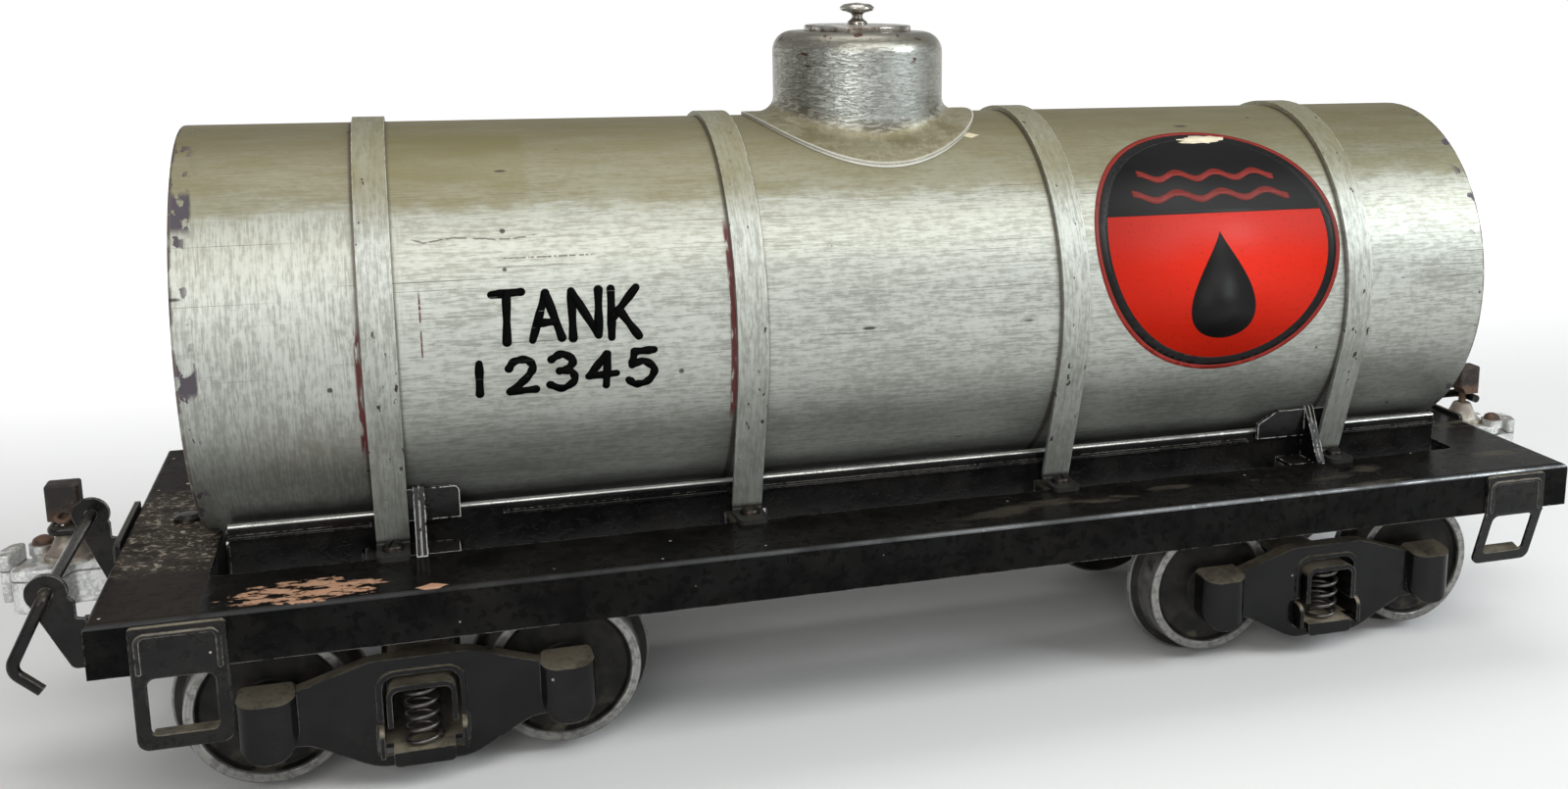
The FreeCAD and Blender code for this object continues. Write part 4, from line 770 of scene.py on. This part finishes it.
# The badge's middle, and its rings from the outside in
EMBLEM_X = 0.1010
EMBLEM_ARC = -0.0700
EMBLEM_R = 0.0430
RING_R = EMBLEM_R - 1.5 * MM
FIELD_R = EMBLEM_R - 4.4 * MM
BAND_LEVEL = 0.0085
PAINT_THICKNESS = 0.03 * MM
EMBLEM_CHIP = (0.1055, -0.0315)
EMBLEM_CHIP_SIZE = (0.0082, 0.0021)


def circle_points(radius, count=96):
    turns = [2 * math.pi * i / count for i in range(count)]
    return [(EMBLEM_X + radius * math.cos(t), EMBLEM_ARC + radius * math.sin(t)) for t in turns]


def wave_points(level, reach, count=60):
    """A plain wavy ribbon across the badge at a level above its middle."""
    half_width = 1.15 * MM
    steps = [2.0 * i / count - 1.0 for i in range(count + 1)]
    swing = [1.3 * MM * math.sin(u * 11.0) for u in steps]
    middle = [(EMBLEM_X + reach * u, EMBLEM_ARC + level + rise) for u, rise in zip(steps, swing)]
    lower = [(x, arc - half_width) for x, arc in middle]
    upper = [(x, arc + half_width) for x, arc in reversed(middle)]
    return lower + upper


def drop_points(size, level, count=72):
    """A plain drop of liquid with its point upwards."""
    points = []
    for i in range(count):
        t = 2 * math.pi * i / count
        width = size * math.sin(t) * math.sin(t / 2) ** 1.6
        points.append((EMBLEM_X + width, EMBLEM_ARC + level + size * 1.05 * math.cos(t)))
    return points


def make_emblem():
    """A generic round badge: red below and black above in a dark border, with waves and a drop."""
    red = emblem_material("badge_red", (0.66, 0.018, 0.004), 1.0)
    border = emblem_material("badge_dark_red", (0.22, 0.018, 0.012), 2.0)
    black = emblem_material("badge_black", (0.006, 0.0055, 0.0055), 3.0)
    band = [p for p in circle_points(FIELD_R, 360) if p[1] > EMBLEM_ARC + BAND_LEVEL]
    layers = [
        # name, outlines, material, millimetres above the tank
        ("badge_border", [circle_points(EMBLEM_R), circle_points(RING_R)], border, 0.02),
        ("badge_ring", [circle_points(RING_R), circle_points(FIELD_R)], black, 0.02),
        ("badge_field", [circle_points(FIELD_R)], red, 0.02),
        ("badge_band", [band], black, 0.05),
        ("badge_wave_upper", [wave_points(0.0225, 0.0240)], border, 0.08),
        ("badge_wave_lower", [wave_points(0.0150, 0.0275)], border, 0.08),
        ("badge_drop", [drop_points(0.0165, -0.0145)], black, 0.05),
    ]
    for name, outlines, material, lift in layers:
        patch = flat_region(outlines)
        wrap_on_tank(patch, lift * MM, PAINT_THICKNESS)
        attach(add_mesh(name, patch, material, "wagon"), "wagon")
    chip = Graph("badge_chip", 4.0)
    tone = chip.noise(chip.point(400.0), 4.0)
    colour = chip.mix(tone, (0.62, 0.54, 0.38), (0.80, 0.73, 0.56))
    cream = chip.finish(colour, 0.6, 0.0, tone, 0.05 * MM)
    rng = random.Random(11)
    outline = []
    points = 28
    (x, arc), (long, tall) = EMBLEM_CHIP, EMBLEM_CHIP_SIZE
    for i in range(points):
        t = 2 * math.pi * i / points
        stretch = 1.0 + rng.uniform(-0.22, 0.22)
        outline.append((x + long * stretch * math.cos(t), arc + tall * stretch * math.sin(t)))
    patch = flat_region([outline])
    wrap_on_tank(patch, 0.085 * MM, 0.02 * MM)
    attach(add_mesh("badge_chip", patch, cream, "wagon"), "wagon")


# Strokes of each painted mark in a box 1 wide and 1 high
MARKS = {
    "T": [[(0.0, 0.97), (1.0, 1.0)], [(0.5, 0.97), (0.47, 0.0)]],
    "A": [[(0.0, 0.0), (0.48, 1.0)], [(0.48, 1.0), (1.0, 0.02)], [(0.2, 0.36), (0.8, 0.38)]],
    "N": [[(0.05, 0.0), (0.03, 1.0)], [(0.03, 1.0), (0.93, 0.03)], [(0.93, 0.03), (0.97, 1.0)]],
    "K": [[(0.05, 0.0), (0.07, 1.0)], [(0.95, 1.0), (0.12, 0.42)], [(0.32, 0.56), (1.0, 0.0)]],
    "1": [[(0.42, 0.98), (0.46, 0.0)]],
    "2": [[(0.02, 0.76), (0.2, 0.97), (0.62, 1.0), (0.86, 0.78), (0.66, 0.45), (0.08, 0.03)],
          [(0.08, 0.03), (0.98, 0.06)]],
    "3": [[(0.08, 0.88), (0.45, 1.02), (0.85, 0.82), (0.68, 0.58), (0.38, 0.52)],
          [(0.38, 0.52), (0.80, 0.48), (0.92, 0.2), (0.5, -0.02), (0.05, 0.12)]],
    "4": [[(0.62, 1.0), (0.0, 0.32)], [(0.0, 0.32), (1.0, 0.36)], [(0.66, 1.0), (0.64, -0.02)]],
    "5": [[(0.92, 0.98), (0.2, 0.96)], [(0.2, 0.96), (0.12, 0.56)],
          [(0.12, 0.56), (0.55, 0.66), (0.95, 0.4), (0.75, 0.06), (0.3, -0.03), (0.02, 0.12)]],
}


def smooth_path(points, steps=7):
    """Catmull-Rom curve through the points."""
    if len(points) == 2:
        (ax, ay), (bx, by) = points
        return [(ax + (bx - ax) * i / steps, ay + (by - ay) * i / steps) for i in range(steps + 1)]
    padded = [points[0]] + list(points) + [points[-1]]
    path = []
    for a, b, c, d in zip(padded, padded[1:], padded[2:], padded[3:]):
        for i in range(steps):
            t = i / steps
            path.append(tuple(
                0.5 * (2 * b[k] + (c[k] - a[k]) * t + (2 * a[k] - 5 * b[k] + 4 * c[k] - d[k]) * t * t
                       + (3 * b[k] - a[k] - 3 * c[k] + d[k]) * t ** 3) for k in (0, 1)))
    path.append(points[-1])
    return path


def brush_stroke(path, half_width, rng):
    """Outline of one painted stroke with rounded ends and an unsteady width."""
    left, right = [], []
    count = len(path)
    phase = rng.uniform(0, 6.28)
    for i, (x, y) in enumerate(path):
        ax, ay = path[max(i - 1, 0)]
        bx, by = path[min(i + 1, count - 1)]
        length = math.hypot(bx - ax, by - ay)
        nx, ny = -(by - ay) / length, (bx - ax) / length
        width = half_width * (1.0 + 0.10 * math.sin(phase + i * 1.1) + rng.uniform(-0.04, 0.04))
        left.append((x + nx * width, y + ny * width))
        right.append((x - nx * width, y - ny * width))

    def cap(centre, start):
        angle = math.atan2(start[1] - centre[1], start[0] - centre[0])
        radius = math.hypot(start[0] - centre[0], start[1] - centre[1])
        return [(centre[0] + radius * math.cos(angle - math.pi * k / 6),
                 centre[1] + radius * math.sin(angle - math.pi * k / 6)) for k in range(1, 6)]

    return left + cap(path[-1], left[-1]) + right[::-1] + cap(path[0], right[0])


def make_marks():
    """Hand-painted generic word and digits on the near side, in the style of running numbers."""
    g = Graph("mark_black", 2.0)
    gloss = g.noise(g.point(300.0), 3.0)
    tone = g.mix(gloss, (0.0012, 0.0012, 0.0012), (0.0035, 0.0034, 0.0032))
    ink = g.finish(tone, 0.38 + gloss * 0.2, 0.0, gloss, 0.03 * MM, Specular_IOR_Level=0.02)
    rng = random.Random(5)
    rows = [
        # text, first x, letter pitch, width, base arc, height, half-width of the stroke, lean
        ("TANK", -0.1210, 0.0104, 0.0078, -0.0886, 0.0132, 0.00115, 0.02),
        ("12345", -0.1285, 0.0108, 0.0075, -0.1026, 0.0093, 0.00110, 0.05),
    ]
    for text, first, pitch, width, base, height, half, lean in rows:
        for place, letter in enumerate(text):
            shift = rng.uniform(-0.0004, 0.0004)
            tall = height * rng.uniform(0.95, 1.05)
            for number, stroke in enumerate(MARKS[letter]):
                path = []
                for u, v in smooth_path(stroke):
                    x = first + place * pitch + width * u + lean * tall * v
                    path.append((x, base + shift + tall * v))
                outline = brush_stroke(path, half, rng)
                patch = flat_region([outline])
                wrap_on_tank(patch, (0.015 + 0.012 * number) * MM, PAINT_THICKNESS)
                name = "mark_" + ("upper_", "lower_")[base < -0.09] + str(place) + "_" + str(number)
                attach(add_mesh(name, patch, ink, "wagon"), "wagon")


def make_springs():
    """Coil springs between the spring plank and the bolster."""
    material = plain_steel("spring_steel", 5.9, (0.045, 0.043, 0.040), (0.20, 0.19, 0.18), 0.24)
    wire = 0.65 * MM
    turns = 5.5
    steps_per_turn = 26
    sides = 10
    # share of the wire that lies flat at each end, and the share that climbs
    flat = 0.09
    climb = 0.82
    for end in ENDS:
        low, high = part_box("springs_" + end)
        centre_x = (low.x + high.x) / 2
        radius = (high.x - low.x) / 2 - wire
        centre_y = high.y - radius - wire
        bottom = low.z + wire
        top = high.z - wire
        for side, name in ((-1, "near"), (1, "far")):
            bm = bmesh.new()
            rings = []
            count = int(turns * steps_per_turn)
            for i in range(count + 1):
                t = i / count
                angle = 2 * math.pi * turns * t
                rise = min(max((t - flat) / climb, 0.0), 1.0)
                height = bottom + (top - bottom) * rise
                centre = Vector((radius * math.cos(angle), radius * math.sin(angle), height))
                out = Vector((math.cos(angle), math.sin(angle), 0))
                thickness = wire * (0.96 if flat < t < flat + climb else 0.94)
                ring = []
                for k in range(sides):
                    a = 2 * math.pi * k / sides
                    point = centre + (out * math.cos(a) + Vector((0, 0, 1)) * math.sin(a)) * thickness
                    ring.append(bm.verts.new(point + Vector((centre_x, side * centre_y, 0))))
                rings.append(ring)
            for a, b in zip(rings, rings[1:]):
                for k in range(sides):
                    bm.faces.new((a[k], a[(k + 1) % sides], b[(k + 1) % sides], b[k]))
            bm.faces.new(rings[0][::-1])
            bm.faces.new(rings[-1])
            bmesh.ops.recalc_face_normals(bm, faces=bm.faces[:])
            piece = add_mesh("spring_" + end + "_" + name, bm, material, "truck_" + end)
            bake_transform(piece)
            if side < 0:
                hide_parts("springs_" + end)


# ---------------------------------------------------------------- camera, floor and lights

def look(position, forward, roll=0.0):
    """Placement with -Z along forward and +Y up, rolled about the view."""
    forward = forward.normalized()
    level = forward.cross(Vector((0, 0, 1))).normalized()
    upright = level.cross(forward)
    right = level * math.cos(roll) + upright * math.sin(roll)
    up = right.cross(forward)
    turn = Matrix((right, up, -forward)).transposed()
    return Matrix.Translation(position) @ turn.to_4x4()


CAMERA_PLACE = (-0.13913, -0.49632, 0.22372)
CAMERA_YAW = 0.3402
CAMERA_PITCH = -0.2067
CAMERA_ROLL = 0.009


def make_camera():
    data = bpy.data.cameras.new("camera")
    data.sensor_width = 36.0
    data.lens = 36.49
    data.shift_x = -0.1189
    data.shift_y = -0.0503
    data.clip_start = 0.01
    camera = bpy.data.objects.new("camera", data)
    level = math.cos(CAMERA_PITCH)
    forward = Vector((math.sin(CAMERA_YAW) * level, math.cos(CAMERA_YAW) * level, math.sin(CAMERA_PITCH)))
    camera.matrix_world = look(Vector(CAMERA_PLACE), forward, CAMERA_ROLL)
    bpy.context.scene.collection.objects.link(camera)
    bpy.context.scene.camera = camera


FLOOR_RADIUS = 6.0
FLOOR_NEAR = 0.10
FLOOR_FAR = 0.80
FLOOR_GLOW = 0.75
ROOM_LIGHT = 0.35
SWEEP_LIGHT = 0.65


def make_floor():
    """A pale round floor that brightens into the white surround behind the wagon."""
    bm = bmesh.new()
    bmesh.ops.create_circle(bm, cap_ends=True, segments=96, radius=FLOOR_RADIUS)
    mesh = bpy.data.meshes.new("floor")
    bm.to_mesh(mesh)
    bm.free()
    floor = bpy.data.objects.new("floor", mesh)
    bpy.context.scene.collection.objects.link(floor)
    g = Graph("floor_pale", 0.5)
    tone = g.noise(g.point(3.0), 2.0)
    glow = g.above(g.y, (FLOOR_NEAR + FLOOR_FAR) / 2, (FLOOR_FAR - FLOOR_NEAR) / 2)
    g.feed(g.shader.inputs["Emission Color"], (1.0, 1.0, 1.0))
    g.feed(g.shader.inputs["Emission Strength"], glow * FLOOR_GLOW)
    mesh.materials.append(g.finish(g.mix(tone, (0.78, 0.78, 0.78), (0.82, 0.82, 0.82)), 0.9))


def add_light(name, position, target, width, height, power, colour):
    data = bpy.data.lights.new(name, "AREA")
    data.shape = "RECTANGLE"
    data.size = width
    data.size_y = height
    data.energy = power
    data.color = colour
    light = bpy.data.objects.new(name, data)
    light.matrix_world = look(Vector(position), Vector(target) - Vector(position))
    bpy.context.scene.collection.objects.link(light)


def make_lights():
    middle = (0.0, 0.0, 0.10)
    add_light("strip", (0.10, -0.95, 1.20), middle, 1.3, 0.45, 8.0, (1.0, 0.99, 0.96))
    add_light("right", (1.15, -0.85, 0.85), middle, 0.5, 0.5, 12.0, (0.90, 0.97, 1.0))
    add_light("front", (-0.75, -1.5, 0.75), middle, 0.9, 0.6, 8.0, (1.0, 0.99, 0.97))
    add_light("top", (0.0, 0.3, 1.7), middle, 1.2, 0.8, 6.5, (1.0, 1.0, 1.0))
    make_surround()
    bpy.context.scene.view_settings.view_transform = "Standard"


def make_surround():
    """World light: a white sweep low down behind the wagon, a dimmer room elsewhere."""
    world = bpy.data.worlds.new("studio")
    bpy.context.scene.world = world
    world.use_nodes = True
    tree = world.node_tree
    coordinates = tree.nodes.new("ShaderNodeTexCoord")
    parts = tree.nodes.new("ShaderNodeSeparateXYZ")
    tree.links.new(coordinates.outputs["Generated"], parts.inputs[0])

    def ramp(socket, start, stop, low, high):
        node = tree.nodes.new("ShaderNodeMapRange")
        node.interpolation_type = "SMOOTHSTEP"
        levels = (("From Min", start), ("From Max", stop), ("To Min", low), ("To Max", high))
        for name, level in levels:
            node.inputs[name].default_value = level
        tree.links.new(socket, node.inputs["Value"])
        return node.outputs["Result"]

    def joined(operation, first, second):
        node = tree.nodes.new("ShaderNodeMath")
        node.operation = operation
        tree.links.new(first, node.inputs[0])
        if isinstance(second, float):
            node.inputs[1].default_value = second
        else:
            tree.links.new(second, node.inputs[1])
        return node.outputs[0]

    low_down = ramp(parts.outputs["Z"], 0.10, 0.27, 1.0, 0.0)
    behind = ramp(parts.outputs["Y"], 0.15, 0.60, 0.0, 1.0)
    sweep = joined("MULTIPLY", low_down, behind)
    strength = joined("MULTIPLY_ADD", sweep, SWEEP_LIGHT)
    strength.node.inputs[2].default_value = ROOM_LIGHT
    tree.links.new(strength, tree.nodes["Background"].inputs["Strength"])
    tree.nodes["Background"].inputs["Color"].default_value = (1.0, 1.0, 1.0, 1.0)


make_camera()
make_floor()
make_lights()
dress_frame()
make_emblem()
make_marks()
make_springs()
